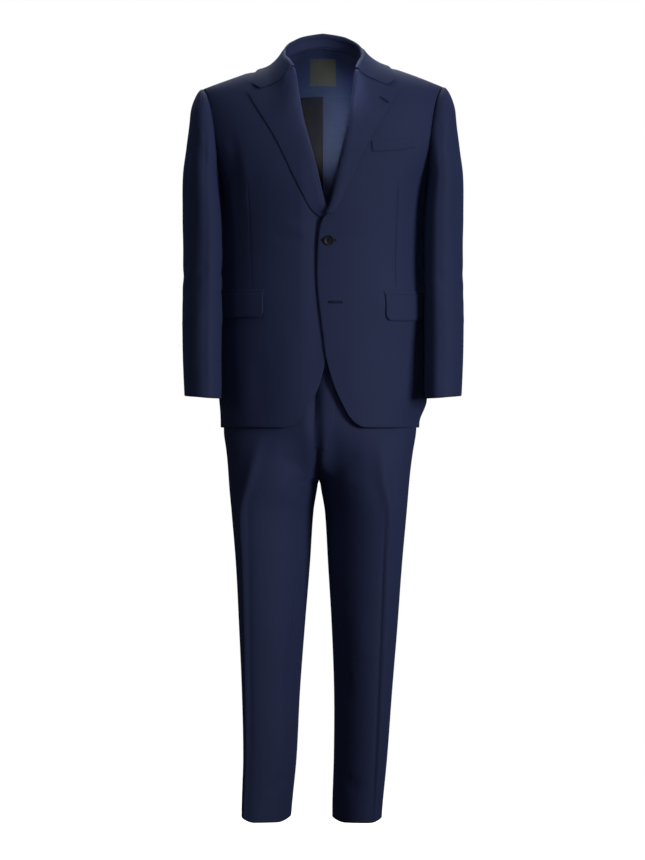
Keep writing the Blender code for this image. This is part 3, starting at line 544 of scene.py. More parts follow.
def seam_and_armhole(turn, top_turn, hem_angle):
    """Side seam, then the armhole up to the shoulder, as one edge."""
    seam = seam_line(turn, hem_angle)

    def edge(up):
        up = np.asarray(up)
        low = seam(np.minimum(up / ARMHOLE_SHARE, 1.0))
        run = np.clip((up - ARMHOLE_SHARE) / (1 - ARMHOLE_SHARE), 0.0, 1.0)
        high = armhole(mix(turn, top_turn, run))
        return tuple(np.where(up < ARMHOLE_SHARE, low[i], high[i]) for i in range(2))
    return edge


def forepart(side):
    edge = seam_and_armhole(FRONT_SEAM_AT, 0.0, FRONT_SEAM_HEM_ANGLE)
    surface = patch(front_edge(side), edge, front_hem(side), shoulder_seam)
    if side == "left":
        return surface

    def under(u, v):
        spot = surface(u, v)
        depth = between(UNDER_FRONT, spot[..., 2], "depth")
        return -depth * ease((UNDER_REACH - spot[..., 0]) / UNDER_REACH)
    return lifted(surface, under)


def side_panel():
    def hem(across):
        angle = mix(FRONT_SEAM_HEM_ANGLE, BACK_SEAM_HEM_ANGLE, across)
        return angle, down_to(angle, HEM)

    def underarm(across):
        return armhole(mix(FRONT_SEAM_AT, BACK_SEAM_AT, across))
    front = seam_line(FRONT_SEAM_AT, FRONT_SEAM_HEM_ANGLE)
    back = seam_line(BACK_SEAM_AT, BACK_SEAM_HEM_ANGLE)
    return patch(front, back, hem, underarm)


def neckline(out):
    """Distance down the back of the neckline, at a distance out from the midline."""
    share = (180.0 - place(out, NECK_HEIGHT, back=True)[0]) / (180.0 - neck_angle(True))
    return nape_down() * np.sqrt(np.maximum(1 - share**2, 0.0))


def back_panel():
    foot, nape, at_neck = down_to(180.0, HEM), nape_down(), neck_angle(True)

    def centre(up):
        return 180.0 + 0.0 * up, mix(foot, nape, up)

    def hem(across):
        angle = mix(180.0, BACK_SEAM_HEM_ANGLE, across)
        return angle, down_to(angle, HEM)

    def top(across):
        near = np.minimum(across / NECK_SHARE, 1.0)
        far = np.clip((across - NECK_SHARE) / (1 - NECK_SHARE), 0.0, 1.0)
        angle = mix(180.0, at_neck, near) + (90.0 - at_neck) * far
        return angle, nape * np.sqrt(np.maximum(1 - near**2, 0.0))
    edge = seam_and_armhole(BACK_SEAM_AT, 360.0, BACK_SEAM_HEM_ANGLE)
    return flipped(patch(centre, edge, hem, top))


# ---------------------------------------------------------------- sleeves

def sleeve_point(turn, height):
    """Point of the left sleeve's tube; turn 0 is its outer side and 90 its front."""
    out, depth, half_width, half_depth, turned = (
        between(SLEEVE, height, column) for column in Sleeve._fields[1:])
    angle, twist = np.radians(turn), np.radians(turned)
    across, along = half_width * np.cos(angle), -half_depth * np.sin(angle)
    return point_at(
        out + across * np.cos(twist) + along * np.sin(twist),
        depth - across * np.sin(twist) + along * np.cos(twist),
        height,
    )


def sleeve_surface(turn, down):
    """Point of the left sleeve from the armhole at 0 to the cuff at 1.

    It leaves the armhole sideways where the sleeve stands out from it, and straight down
    where the two meet.
    """
    start = torso(*armhole(turn)) + np.array((2 * SEAM_GAP, 0, 0))
    top = start[..., 2]
    side = np.abs(np.sin(np.radians(turn)))
    roll = mix(SLEEVE_HEAD, SLEEVE_SIDE_ROUND, side)
    below = sleeve_point(turn, top - roll)
    gap = np.hypot(below[..., 0] - start[..., 0], below[..., 1] - start[..., 1])
    stand = ease(gap / SLEEVE_STAND)
    cuff = CUFF - CUFF_SLANT * (1 - np.cos(np.radians(turn))) / 2
    quarter = roll * math.pi / 2
    run = down * (1 + (top - cuff - mix(quarter, roll, stand)) / quarter)
    swing = np.minimum(run, 1.0) * math.pi / 2
    drop = mix(roll * swing, roll * (1 - np.cos(swing)), stand) + quarter * np.maximum(run - 1, 0.0)
    tube = sleeve_point(turn, top - drop)
    share = np.sin(swing)
    return point_at(
        mix(start[..., 0], tube[..., 0], share), mix(start[..., 1], tube[..., 1], share), top - drop)


def sleeve_part(first, last):
    return flipped(lambda u, v: sleeve_surface(mix(first, last, u), 1 - v))


# ---------------------------------------------------------------- lapels and collar

def front_face(side):
    """Outer face of a forepart at a front-view place, before it is mirrored."""
    def face(out, height):
        depth = section_depth(torso_section(height), out, False)
        depth = rounded(depth, np.abs(out), down_from(out, height))
        if side == "right":
            under = between(UNDER_FRONT, height, "depth")
            depth = depth + under * ease((UNDER_REACH - out) / UNDER_REACH)
        return point_at(out, depth, height)
    return face


def lapel(side):
    face = front_face(side)
    last = LAPEL_ROLL[-1]

    def point(u, v):
        roll_height = mix(LAPEL_FOOT[side], GORGE_HEIGHT, v)
        edge_height = mix(LAPEL_FOOT[side] - LAPEL_FOOT_WIDTH, LAPEL_TIP, v)
        roll = point_at(between(FRONT_EDGE, roll_height, side), roll_height)
        edge = point_at(between(LAPEL_EDGE, edge_height, "out"), edge_height)
        away = unit(edge - roll)
        wrap = np.minimum(u, last.share)
        start = roll - away * between(LAPEL_ROLL, wrap, "back")[..., None]
        far = np.clip((u - last.share) / (1 - last.share), 0.0, None)
        spot = start + (edge - start) * far[..., None]
        lift = mix(between(LAPEL_ROLL, wrap, "lift"), LAPEL_EDGE_LIFT, far)
        where = spot[..., 0], spot[..., 1]
        return face(*where) + normal_at(face, *where) * lift[..., None]
    return point


def neck_path(side, share):
    """Out and along of the neck seam, from the nape at 0 round to the gorge at 1."""
    share = np.asarray(share, dtype=float)
    behind = NECK_POINT * np.sin(np.minimum(share, 0.5) * math.pi)
    down = down_from(GORGE_OUT, GORGE_HEIGHT) * np.maximum(share - 0.5, 0.0) / 0.5
    height = NECK_HEIGHT - drop_at(down)
    for _ in range(FORM_ROUNDS):
        out = between(FRONT_EDGE, height, side)
        height = shoulder_height(out) - drop_at(down)
    back = share <= 0.5
    return np.where(back, behind, out), np.where(back, neckline(behind), -down)


def gorge_end(side, down):
    """Out and along of the collar's front end: down the gorge to the notch, then its point."""
    roll = np.array((between(FRONT_EDGE, GORGE_HEIGHT, side), GORGE_HEIGHT))
    tip = np.array((between(LAPEL_EDGE, LAPEL_TIP, "out"), LAPEL_TIP))
    notch = mix(roll, tip, NOTCH_ALONG)
    down = np.asarray(down, dtype=float)[..., None]
    near = mix(roll, notch, np.minimum(down / NOTCH_SHARE, 1.0))
    far = (np.array(COLLAR_POINT) - notch) * np.maximum(down - NOTCH_SHARE, 0.0) / (1 - NOTCH_SHARE)
    spot = near + far
    out, height = spot[..., 0], spot[..., 1]
    return out, -down_from(out, height)


def collar_base(side, share, down):
    """Point of the body under the collar, and the body's outward direction there."""
    first = neck_path(side, share)
    last = between(COLLAR, share, "edge_out"), between(COLLAR, share, "edge_along")
    spot = [mix(first[i], last[i], down) for i in range(2)]
    pull = ease((share - COLLAR_GORGE_FROM) / (1 - COLLAR_GORGE_FROM))
    end, foot = gorge_end(side, down), neck_path(side, 1.0)
    straight = [mix(foot[i], COLLAR[-1][i + 2], down) for i in range(2)]
    spot = [spot[i] + (end[i] - straight[i]) * pull for i in range(2)]
    normal = normal_at(shoulder, *spot)
    return shoulder(*spot), np.where(normal[..., 2:] < 0, -normal, normal)


def inward(spot):
    return -unit(spot * np.array((1.0, 1.0, 0.0)))


def across_neck(half):
    """A surface given for each side, joined over the nape; u runs from right to left."""
    def point(u, v):
        share = np.minimum(np.abs(2 * u - 1), 1.0 + STEP)
        left, right = half("left", share, v), half("right", share, v)
        right = right * np.array((-1.0, 1.0, 1.0))
        return np.where((np.asarray(u) >= 0.5)[..., None], left, right)
    return point


def collar_fall(side, share, v):
    """Outer collar: over the crest, then down to its edge; v is 0 inside the crest."""
    crest = COLLAR_CREST[-1].share
    down = np.maximum(v - crest, 0.0) / (1 - crest)
    spot, normal = collar_base(side, share, down)
    away = unit(collar_base(side, share, down + STEP)[0] - spot)
    lay = ease((share - COLLAR_FLAT_FROM) / COLLAR_FLAT_RUN)[..., None]
    up = mix(np.array((0.0, 0.0, 1.0)), normal, lay)
    into = mix(inward(spot), -away, lay)
    wrap = np.minimum(v, crest)
    rise = between(COLLAR, share, "stand") * np.maximum(1 - down, 0.0) ** COLLAR_FALL_POWER
    rise = rise - between(COLLAR_CREST, wrap, "fall")
    back = between(COLLAR_CREST, wrap, "inward")
    face = COLLAR_LIFT - GORGE_SINK * lay * down[..., None]
    return spot + normal * face + up * rise[..., None] + into * back[..., None]


def collar_stand(side, share, v):
    spot, normal = collar_base(side, share * STAND_END, 0.0 * share)
    rise = between(COLLAR, share * STAND_END, "stand")
    foot = SEAM_GAP - STAND_DROP * ease((share - STAND_DROP_FROM) / STAND_DROP_RUN)
    lift = mix(foot, rise - STAND_TOP, v)
    return spot + inward(spot) * STAND_IN + point_at(0.0, 0.0, lift)


def downward(point):
    return lambda u, v: point(u, 1 - v)


# ---------------------------------------------------------------- inside the back, and pockets

def inside_back(lift, half, top, foot):
    """A piece behind the back panels, between two heights; its face is towards the neck."""
    def point(u, v):
        out = mix(-half, half, u)
        neck = neckline(np.minimum(np.abs(out), NECK_POINT)) + FACING_START
        high = down_from(out, top) if top else neck
        spot = (out, mix(down_from(out, foot), high, v))
        normal = normal_at(shoulder, *spot)
        return shoulder(*spot) + np.where(normal[..., 1:2] > 0, normal, -normal) * lift
    return flipped(point)


def evened(point):
    """A surface without the seam down its middle: the mean of places beside each other."""
    def even(u, v):
        return sum(point(u + reach, v) for reach in EVEN_REACH) / len(EVEN_REACH)
    return even


def lining(u, v):
    angle = mix(LINING_ANGLE, 180.0, u)
    top, foot = down_to(angle, FACING_FOOT), down_to(angle, LINING_FOOT)
    return torso(angle, mix(foot, top, v))


def flap(u, v):
    """Pocket flap, with its lower corners rounded."""
    first = place(FLAP_START, FLAP_TOP)[0]
    angle = mix(first, first + FLAP_ANGLE, u)
    corner = np.clip(1 - np.minimum(u, 1 - u) * FLAP_WIDTH / FLAP_CORNER, 0.0, 1.0)
    foot = FLAP_TOP - FLAP_HEIGHT + FLAP_CORNER * (1 - np.sqrt(1 - corner**2))
    return torso(angle, down_to(angle, mix(foot, FLAP_TOP, v)))


def jet(u, v):
    first = place(FLAP_START, FLAP_TOP)[0]
    angle = mix(first - JET_OVER, first + FLAP_ANGLE + JET_OVER, u)
    return torso(angle, down_to(angle, FLAP_TOP + SEAM_GAP + JET_HEIGHT * v))


def welt(u, v):
    out, height = WELT_START
    place_out = mix(out, WELT_END, u) - WELT_LEAN * v
    return front_face("left")(place_out, height + WELT_SLANT * u + WELT_HEIGHT * v)


# ---------------------------------------------------------------- trousers

def midline(side, height):
    middle = between(HIP, height, "middle")
    return middle if side == "left" else -middle


def hip_point(side, angle, height):
    half_width, front, back, square = (between(HIP, height, column) for column in Hip._fields[2:])
    turn = np.radians(angle)
    across, along = np.abs(np.sin(turn)), np.abs(np.cos(turn))
    depth = np.where(np.cos(turn) > 0, front + HIP_MIDDLE, back - HIP_MIDDLE)
    radius = ((across / half_width) ** square + (along / depth) ** square) ** (-1 / square)
    out = midline(side, height) + radius * np.sin(turn)
    return point_at(out, HIP_MIDDLE - radius * np.cos(turn), height)


def leg_turn(side, height):
    return np.radians(between(LEG, height, f"{side}_turn"))


def leg_width(side, height):
    """Half width across the crease that gives the leg its half width in front view."""
    depth = between(LEG, height, "half_depth")
    half = between(LEG, height, "half_width")
    turn = leg_turn(side, height)
    return np.sqrt(half**2 - (depth * np.sin(turn)) ** 2) / np.cos(turn)


def leg_point(side, around, height):
    """Point of a leg; around is 0 on the inside, 90 on the front crease, 270 on the back one."""
    turn = leg_turn(side, height)
    across = leg_width(side, height) * np.cos(np.radians(around))
    along = between(LEG, height, "half_depth") * np.sin(np.radians(around))
    nearest = np.minimum(np.abs(around - 90), np.abs(around - 270))
    along = along * (1 + CREASE_SIZE * np.exp(-((nearest / CREASE_SPREAD) ** 2)))
    return point_at(
        between(LEG, height, side) - across * np.cos(turn) + along * np.sin(turn),
        between(LEG, height, "depth") - across * np.sin(turn) - along * np.cos(turn),
        height,
    )


def trouser_height(v):
    low = mix(TROUSER_HEM, CROTCH, np.minimum(v / CROTCH_ROW, 1.0))
    return low + (WAIST - CROTCH) * np.maximum(v - CROTCH_ROW, 0.0) / (1 - CROTCH_ROW)


def trouser_at(side, front, u, height):
    """Trouser panel: u is 0 at the centre or inside seam, 0.5 on the crease, 1 at the side."""
    turned = 1 - ease((CROTCH - height) / INSEAM_SETTLE)
    slant = leg_width(side, height) / between(LEG, height, "half_depth")
    seam = np.degrees(np.arctan(np.tan(leg_turn(side, height)) / slant)) * turned
    inside, outside = -seam, 180 - seam
    crease, middle, hip_crease = 90.0, 0.0, HIP_CREASE_ANGLE
    if not front:
        inside, crease, middle = 360 + inside, 270.0, 180.0
        hip_crease = 180.0 - HIP_CREASE_ANGLE
    near, far = np.minimum(2 * u, 1.0), np.maximum(2 * u - 1, 0.0)
    around = np.where(u < 0.5, mix(inside, crease, near), mix(crease, outside, far))
    angle = np.where(u < 0.5, mix(middle, hip_crease, near), mix(hip_crease, 90.0, far))
    leg = leg_point(side, around, height)
    run = np.clip((SEAT_START - height) / (SEAT_START - CROTCH), 0.0, 1.0)
    share = mix(1 - np.sqrt(1 - run**2), ease(run), ease(u / CROTCH_REACH))
    share = np.where(height <= CROTCH, 1.0, share)
    spot = mix(hip_point(side, angle, height), leg, share[..., None])
    limit = np.where(height <= CROTCH, -1.0, midline(side, height))
    spot[..., 0] = np.maximum(spot[..., 0], limit)
    return spot


def trouser_panel(side, front):
    def point(u, v):
        return trouser_at(side, front, u, trouser_height(v))
    return point if front else flipped(point)


def waistband(side):
    return lambda u, v: hip_point(side, 180 * u, WAIST + WAISTBAND_HEIGHT * v)


def fly(u, v):
    height = mix(FLY_FOOT, WAIST - FLY_TOP_GAP, v)
    reach = FLY_IN * mix(FLY_FOOT_SHARE, 1.0, ease(v / FLY_CURVE))
    away = mix(-FLY_OVER, reach, u)
    depths = []
    for side in ("right", "left"):
        low, high = 0.0 * away, 0.5 + 0.0 * away
        for _ in range(HALVINGS):
            half = (low + high) / 2
            short = trouser_at(side, True, half, height)[..., 0] - midline(side, height) < np.abs(away)
            low, high = np.where(short, half, low), np.where(short, high, half)
        depths.append(trouser_at(side, True, low, height)[..., 1])
    depth = np.where(away >= 0, depths[1], depths[0])
    return point_at(midline("left", height) + away, depth, height)


# ---------------------------------------------------------------- creases

Crease = namedtuple("Crease", "across up across_end up_end bow width depth")
# Each view: its axes across and up, and the way the seen side faces
VIEWS = {
    "front": (0, 2, (0.0, -1.0, 0.0)),
    "back": (0, 2, (0.0, 1.0, 0.0)),
    "left": (1, 2, (1.0, 0.0, 0.0)),
    "right": (1, 2, (-1.0, 0.0, 0.0)),
}
# For each cloth and side: from where, to where, how bowed, how wide, and how far out
CREASES = {
    # chest and waist, from the button out
    ("jacket", "front"): (
        (0.030, -0.385, 0.130, -0.352, 0.004, 0.0100, -0.0010),
        (0.024, -0.372, 0.105, -0.318, 0.006, 0.0110, 0.0008),
        (-0.012, -0.388, -0.115, -0.362, -0.005, 0.0110, -0.0010),
        (-0.010, -0.376, -0.090, -0.330, -0.006, 0.0100, 0.0008),
        (0.190, -0.150, 0.176, -0.300, 0.008, 0.0120, -0.0022),
        (-0.190, -0.150, -0.178, -0.310, -0.008, 0.0130, -0.0026),
        (0.168, -0.200, 0.160, -0.345, 0.006, 0.0140, 0.0014),
        (-0.165, -0.190, -0.158, -0.350, -0.006, 0.0150, 0.0016),
        (0.060, -0.560, 0.075, -0.740, 0.010, 0.0220, 0.0016),
        (-0.070, -0.540, -0.085, -0.745, -0.010, 0.0240, 0.0016),
        (0.120, -0.600, 0.128, -0.750, 0.006, 0.0180, -0.0014),
        (-0.130, -0.590, -0.135, -0.750, -0.006, 0.0180, -0.0016),
    ),
    # shoulder blades, waist and skirt
    ("jacket", "back"): (
        (0.070, -0.030, 0.150, -0.120, 0.010, 0.0200, -0.0016),
        (-0.065, -0.030, -0.145, -0.125, -0.010, 0.0220, -0.0018),
        (0.165, -0.140, 0.150, -0.330, 0.010, 0.0160, 0.0024),
        (-0.165, -0.150, -0.152, -0.350, -0.010, 0.0170, 0.0026),
        (0.020, -0.380, 0.130, -0.410, 0.008, 0.0140, -0.0018),
        (-0.025, -0.370, -0.135, -0.402, 0.008, 0.0130, -0.0020),
        (0.030, -0.412, 0.120, -0.446, 0.006, 0.0120, 0.0012),
        (-0.030, -0.425, -0.118, -0.452, 0.006, 0.0120, 0.0014),
        (0.080, -0.540, 0.098, -0.748, 0.008, 0.0260, 0.0028),
        (-0.070, -0.550, -0.090, -0.748, -0.008, 0.0260, 0.0026),
        (0.140, -0.560, 0.150, -0.748, 0.008, 0.0200, -0.0020),
        (-0.138, -0.560, -0.152, -0.748, -0.008, 0.0200, -0.0020),
    ),
    ("jacket", "left"): (
        (0.035, -0.360, 0.075, -0.450, 0.010, 0.0120, -0.0014),
    ),
    ("jacket", "right"): (
        (0.030, -0.355, 0.080, -0.455, 0.010, 0.0120, -0.0014),
    ),
    # folds of the back-neck facing
    ("facing", "front"): (
        (-0.041, 0.010, -0.044, -0.125, -0.005, 0.0045, -0.0060),
        (-0.031, 0.010, -0.033, -0.125, -0.004, 0.0060, 0.0022),
        (0.046, 0.010, 0.053, -0.130, 0.004, 0.0045, -0.0060),
        (0.035, 0.010, 0.042, -0.130, 0.003, 0.0060, 0.0022),
    ),
    # the cap, the elbow and the cuff
    ("sleeve", "front"): (
        (0.232, -0.120, 0.214, -0.300, -0.006, 0.0090, -0.0022),
        (-0.232, -0.118, -0.216, -0.330, 0.006, 0.0100, -0.0024),
        (0.262, -0.180, 0.246, -0.420, 0.008, 0.0130, 0.0016),
        (-0.262, -0.160, -0.244, -0.400, -0.008, 0.0130, 0.0016),
        (0.222, -0.430, 0.262, -0.480, 0.006, 0.0120, -0.0018),
        (-0.220, -0.420, -0.262, -0.492, 0.008, 0.0130, -0.0022),
        (0.218, -0.480, 0.258, -0.535, 0.006, 0.0110, 0.0012),
        (-0.216, -0.485, -0.254, -0.560, 0.006, 0.0120, 0.0014),
        (-0.236, -0.590, -0.262, -0.690, 0.004, 0.0140, -0.0012),
        (0.238, -0.600, 0.258, -0.692, 0.004, 0.0140, -0.0010),
    ),
    ("sleeve", "left"): (
        (-0.040, -0.150, -0.020, -0.360, 0.010, 0.0140, -0.0016),
        (0.030, -0.180, 0.020, -0.400, 0.010, 0.0140, 0.0016),
        (-0.060, -0.420, 0.020, -0.450, 0.010, 0.0120, -0.0022),
        (-0.062, -0.455, 0.010, -0.492, 0.008, 0.0110, -0.0018),
        (-0.070, -0.500, -0.005, -0.545, 0.008, 0.0120, 0.0014),
    ),
    ("sleeve", "right"): (
        (-0.042, -0.160, -0.018, -0.350, 0.010, 0.0140, -0.0018),
        (0.032, -0.170, 0.018, -0.410, 0.010, 0.0150, 0.0016),
        (-0.058, -0.415, 0.025, -0.455, 0.010, 0.0120, -0.0024),
        (-0.064, -0.462, 0.006, -0.500, 0.008, 0.0110, -0.0016),
        (-0.068, -0.510, -0.010, -0.556, 0.008, 0.0120, 0.0014),
    ),
    ("sleeve", "back"): (
        (0.232, -0.130, 0.222, -0.320, 0.006, 0.0110, -0.0020),
        (-0.232, -0.130, -0.222, -0.310, 0.006, 0.0110, -0.0022),
        (0.225, -0.440, 0.262, -0.462, 0.006, 0.0120, -0.0018),
        (-0.225, -0.445, -0.262, -0.470, 0.006, 0.0120, -0.0020),
    ),
    # from the crotch, over the knees and down to the hems
    ("trousers", "front"): (
        (-0.019, -0.560, -0.010, -1.030, 0.000, 0.0120, -0.0100),
        (0.022, -0.700, 0.016, -0.980, 0.000, 0.0160, -0.0024),
        (-0.074, -0.760, -0.092, -1.640, 0.000, 0.0280, 0.0060),
        (0.127, -0.840, 0.096, -1.620, 0.000, 0.0030, -0.0016),
        (-0.150, -0.820, -0.142, -1.500, 0.000, 0.0034, -0.0009),
        (0.012, -0.870, 0.085, -0.800, -0.008, 0.0130, -0.0020),
        (-0.014, -0.872, -0.095, -0.806, 0.008, 0.0140, -0.0022),
        (0.020, -0.900, 0.070, -0.870, -0.006, 0.0120, -0.0014),
        (-0.022, -0.905, -0.078, -0.868, 0.006, 0.0120, -0.0014),
        (0.030, -1.120, 0.052, -1.320, 0.010, 0.0160, -0.0030),
        (0.075, -1.100, 0.082, -1.230, 0.006, 0.0180, 0.0012),
        (-0.062, -1.130, -0.080, -1.310, -0.008, 0.0160, -0.0022),
        (-0.105, -1.120, -0.112, -1.250, -0.006, 0.0180, 0.0010),
        (0.040, -1.440, 0.078, -1.480, 0.005, 0.0120, -0.0014),
        (-0.072, -1.445, -0.112, -1.488, 0.005, 0.0120, -0.0014),
    ),
    ("trousers", "back"): (
        (0.014, -0.880, 0.090, -0.820, -0.010, 0.0140, -0.0028),
        (-0.014, -0.880, -0.095, -0.822, -0.010, 0.0140, -0.0030),
        (0.020, -0.915, 0.085, -0.880, -0.008, 0.0130, -0.0020),
        (-0.020, -0.918, -0.088, -0.876, -0.008, 0.0130, -0.0022),
        (0.036, -1.170, 0.112, -1.186, -0.006, 0.0140, -0.0026),
        (-0.052, -1.166, -0.128, -1.190, -0.006, 0.0140, -0.0024),
        (0.038, -1.212, 0.108, -1.236, -0.006, 0.0120, -0.0016),
        (-0.055, -1.216, -0.126, -1.234, -0.006, 0.0120, -0.0018),
    ),
}
CREASE_END = 0.32
FACING_GAIN = 1.7


def crease_lift(group, points, normals):
    """How far the creases move each point out; a trough moves it in."""
    total = np.zeros(points.shape[:-1])
    for (owner, view), rows in CREASES.items():
        if owner != group:
            continue
        first, second, facing = VIEWS[view]
        seen = ease(FACING_GAIN * (normals @ np.array(facing)))
        for row in map(Crease._make, rows):
            start = np.array((row.across, row.up))
            run = np.array((row.across_end, row.up_end)) - start
            length = np.hypot(*run)
            spot = points[..., (first, second)] - start
            along = spot @ run / length**2
            off = (spot[..., 0] * run[1] - spot[..., 1] * run[0]) / length
            off = off - row.bow * 4 * along * (1 - along)
            ends = ease(along / CREASE_END) * ease((1 - along) / CREASE_END)
            total += row.depth * np.exp(-((off / row.width) ** 2)) * ends * seen
    return total


# ---------------------------------------------------------------- how the suit settles

# How far the neck and shoulders rise, across the suit, in front and behind
Rise = namedtuple("Rise", "out rise")
NECK_RISE = (
    Rise(-0.300, 0.0000), Rise(-0.160, 0.0000), Rise(-0.130, -0.0060), Rise(-0.116, -0.0100),
    Rise(-0.104, -0.0130), Rise(-0.084, -0.0130), Rise(-0.077, -0.0085), Rise(-0.070, -0.0020),
    Rise(-0.062, 0.0030), Rise(-0.040, 0.0060), Rise(0.000, 0.0072), Rise(0.040, 0.0060),
    Rise(0.061, 0.0030), Rise(0.070, -0.0024), Rise(0.077, -0.0075), Rise(0.088, -0.0080),
    Rise(0.110, -0.0032), Rise(0.128, 0.0010), Rise(0.150, 0.0045), Rise(0.230, 0.0052),
    Rise(0.300, 0.0052),
)
NECK_RISE_FADE = (-0.170, -0.050)
NECK_BACK_RISE = (
    Rise(0.000, 0.0070), Rise(0.040, 0.0048), Rise(0.060, 0.0012), Rise(0.080, -0.0040),
    Rise(0.110, -0.0060), Rise(0.160, 0.0000), Rise(0.300, 0.0030),
)
NECK_BACK_FROM = 0.035
NECK_BACK_OVER = 0.040
# Small shifts of the cloth round a place: where, how wide, and how far across and up
Shift = namedtuple("Shift", "out height wide_out wide_height across up")
JACKET_SHIFTS = (
    Shift(0.004, -0.292, 0.045, 0.036, 0.0000, -0.0240),
    Shift(0.150, -0.190, 0.060, 0.050, -0.0020, -0.0060),
    Shift(0.150, -0.512, 0.052, 0.050, 0.0085, -0.0036),
    Shift(-0.150, -0.535, 0.052, 0.034, 0.0020, 0.0050),
    Shift(0.128, -0.090, 0.045, 0.045, 0.0000, -0.0040),
    Shift(-0.150, -0.090, 0.050, 0.045, 0.0030, -0.0040),
)
HEM_PULL = 0.0120
HEM_PULL_FROM = -0.700
HEM_PULL_OVER = 0.046
HEM_PULL_OUT = 0.120
HEM_PULL_RUN = 0.080
SIDE_FULLNESS = 0.0085
SIDE_FULL_DEPTH = 0.050
SIDE_FULL_WIDTH = 0.032
SLEEVE_FULLNESS = 0.0030
FULL_FROM = -0.110
FULL_TO = -0.745
FULL_EASE = 0.090
# Middle and half width of each leg at its hem
LEG_HEMS = ((-0.1140, 0.0480), (0.0680, 0.0500))
HEM_CURL = 0.0100
HEM_CURL_REACH = 0.014
HEM_CURL_FROM = 0.45
HEM_CURL_MOST = 1.2


def settled(group, points):
    """The cloth's points, moved a little where the made-up suit sits away from its plain form."""
    moved = points.copy()
    out, height = points[..., 0], points[..., 2]
    if group in ("jacket", "facing", "sleeve"):
        low, high = NECK_RISE_FADE
        share = ease((height - low) / (high - low))
        plain = between(NECK_BACK_RISE, np.abs(out), "rise")
        behind = ease((points[..., 1] - NECK_BACK_FROM) / NECK_BACK_OVER)
        moved[..., 2] += share * mix(between(NECK_RISE, out, "rise"), plain, behind)
    if group in ("jacket", "facing"):
        for row in JACKET_SHIFTS:
            across, up = (out - row.out) / row.wide_out, (height - row.height) / row.wide_height
            near = np.exp(-(across**2 + up**2))
            moved[..., 0] += row.across * near
            moved[..., 2] += row.up * near
        pull = ease((HEM_PULL_FROM - height) / HEM_PULL_OVER)
        moved[..., 0] -= HEM_PULL * pull * ease((out - HEM_PULL_OUT) / HEM_PULL_RUN)
    if group == "trousers":
        for middle, half in LEG_HEMS:
            away = np.abs(out - middle) / half
            side = np.clip((away - HEM_CURL_FROM) / (1 - HEM_CURL_FROM), 0.0, HEM_CURL_MOST) ** 2
            fall = np.exp(-np.maximum(height - TROUSER_HEM, 0.0) / HEM_CURL_REACH)
            moved[..., 2] += np.where(away < 2, HEM_CURL * side * fall, 0.0)
    return moved


def fullness(group, points, normals):
    """Extra room at the sides: the jacket's behind the arms, and the sleeves' towards the body."""
    height = points[..., 2]
    run = ease((FULL_FROM - height) / FULL_EASE) * ease((height - FULL_TO) / FULL_EASE)
    outward = normals[..., 0] * np.sign(points[..., 0])
    if group == "jacket":
        near = np.exp(-(((points[..., 1] - SIDE_FULL_DEPTH) / SIDE_FULL_WIDTH) ** 2))
        return SIDE_FULLNESS * near * run * ease(outward * FACING_GAIN)
    if group == "sleeve":
        return SLEEVE_FULLNESS * run * ease(-outward * FACING_GAIN)
    return 0.0 * height


# ---------------------------------------------------------------- sheets of cloth

SEAM_DIP = 0.00055
SEAM_REACH = 0.0016
EDGE_STEPS = (0.0011, 0.0026, 0.0050)
UNDERLAP = 0.0003
SHORTEST = 1e-7
LEAST_CUT = 0.3
GRID = 0.0042
FINE_GRID = 0.0022
LENGTH_STEPS = 60
SHALLOW_DIP = 0.0002
SHARP_EDGE = 62.0
MIRROR = np.array((-1.0, 1.0, 1.0))


def edged(length, grid, extra=()):
    """Shares along an edge of a length, closer together near both its ends."""
    count = max(int(round(length / grid)), 2)
    near = [step / length for step in EDGE_STEPS if step < length / 4]
    inner = [share for share in shares(count)[1:-1] if near[-1] < share < 1 - near[-1]]
    every = [0.0, *near, *inner, *extra, *(1 - step for step in near), 1.0]
    return np.array(sorted(set(round(share, 6) for share in every)))


def inset(point, u, v, gap):
    """Grid places, moved in by a gap where they lie on an edge; a gap under 0 moves them out."""
    new_u, new_v = u.copy(), v.copy()
    for edge, way in ((0, EDGE_PROBE), (-1, -EDGE_PROBE)):
        side = u[:, edge], v[:, edge]
        reach = np.linalg.norm(point(side[0] + way, side[1]) - point(*side), axis=-1)
        new_u[:, edge] = side[0] + gap * way / np.maximum(reach, SHORTEST)
        end = u[edge], v[edge]
        reach = np.linalg.norm(point(end[0], end[1] + way) - point(*end), axis=-1)
        new_v[edge] = end[1] + gap * way / np.maximum(reach, SHORTEST)
    return new_u, new_v


def arcs(points, axis):
    """Distance over the cloth along one way of its grid."""
    steps = np.linalg.norm(np.diff(points, axis=axis), axis=-1)
    start = np.zeros_like(np.take(steps, [0], axis=axis))
    return np.cumsum(np.concatenate((start, steps), axis=axis), axis=axis)


def lengths(point):
    """Width and height of a sheet, over its middle."""
    line = shares(LENGTH_STEPS)
    half = 0.5 + 0 * line
    return [arcs(spots, 0)[-1] for spots in (point(line, half), point(half, line))]


def flat_area(points):
    across = points[:-1, 1:] - points[:-1, :-1]
    up = points[1:, :-1] - points[:-1, :-1]
    return float(np.linalg.norm(np.cross(across, up), axis=-1).sum())


def grid_faces(rows, columns):
    """Quads of the outer grid, the inner grid and the four edges between them."""
    index = np.arange(rows * columns).reshape(rows, columns)
    quads = np.stack((index[:-1, :-1], index[:-1, 1:], index[1:, 1:], index[1:, :-1]), axis=-1)
    outer = quads.reshape(-1, 4)
    inner = outer[:, ::-1] + rows * columns
    border = np.concatenate((index[0], index[1:, -1], index[-1, -2::-1], index[-2:0:-1, 0]))
    after = np.roll(border, -1)
    rim = np.stack((after, border, border + rows * columns, after + rows * columns), axis=-1)
    return np.concatenate((outer, inner, rim))


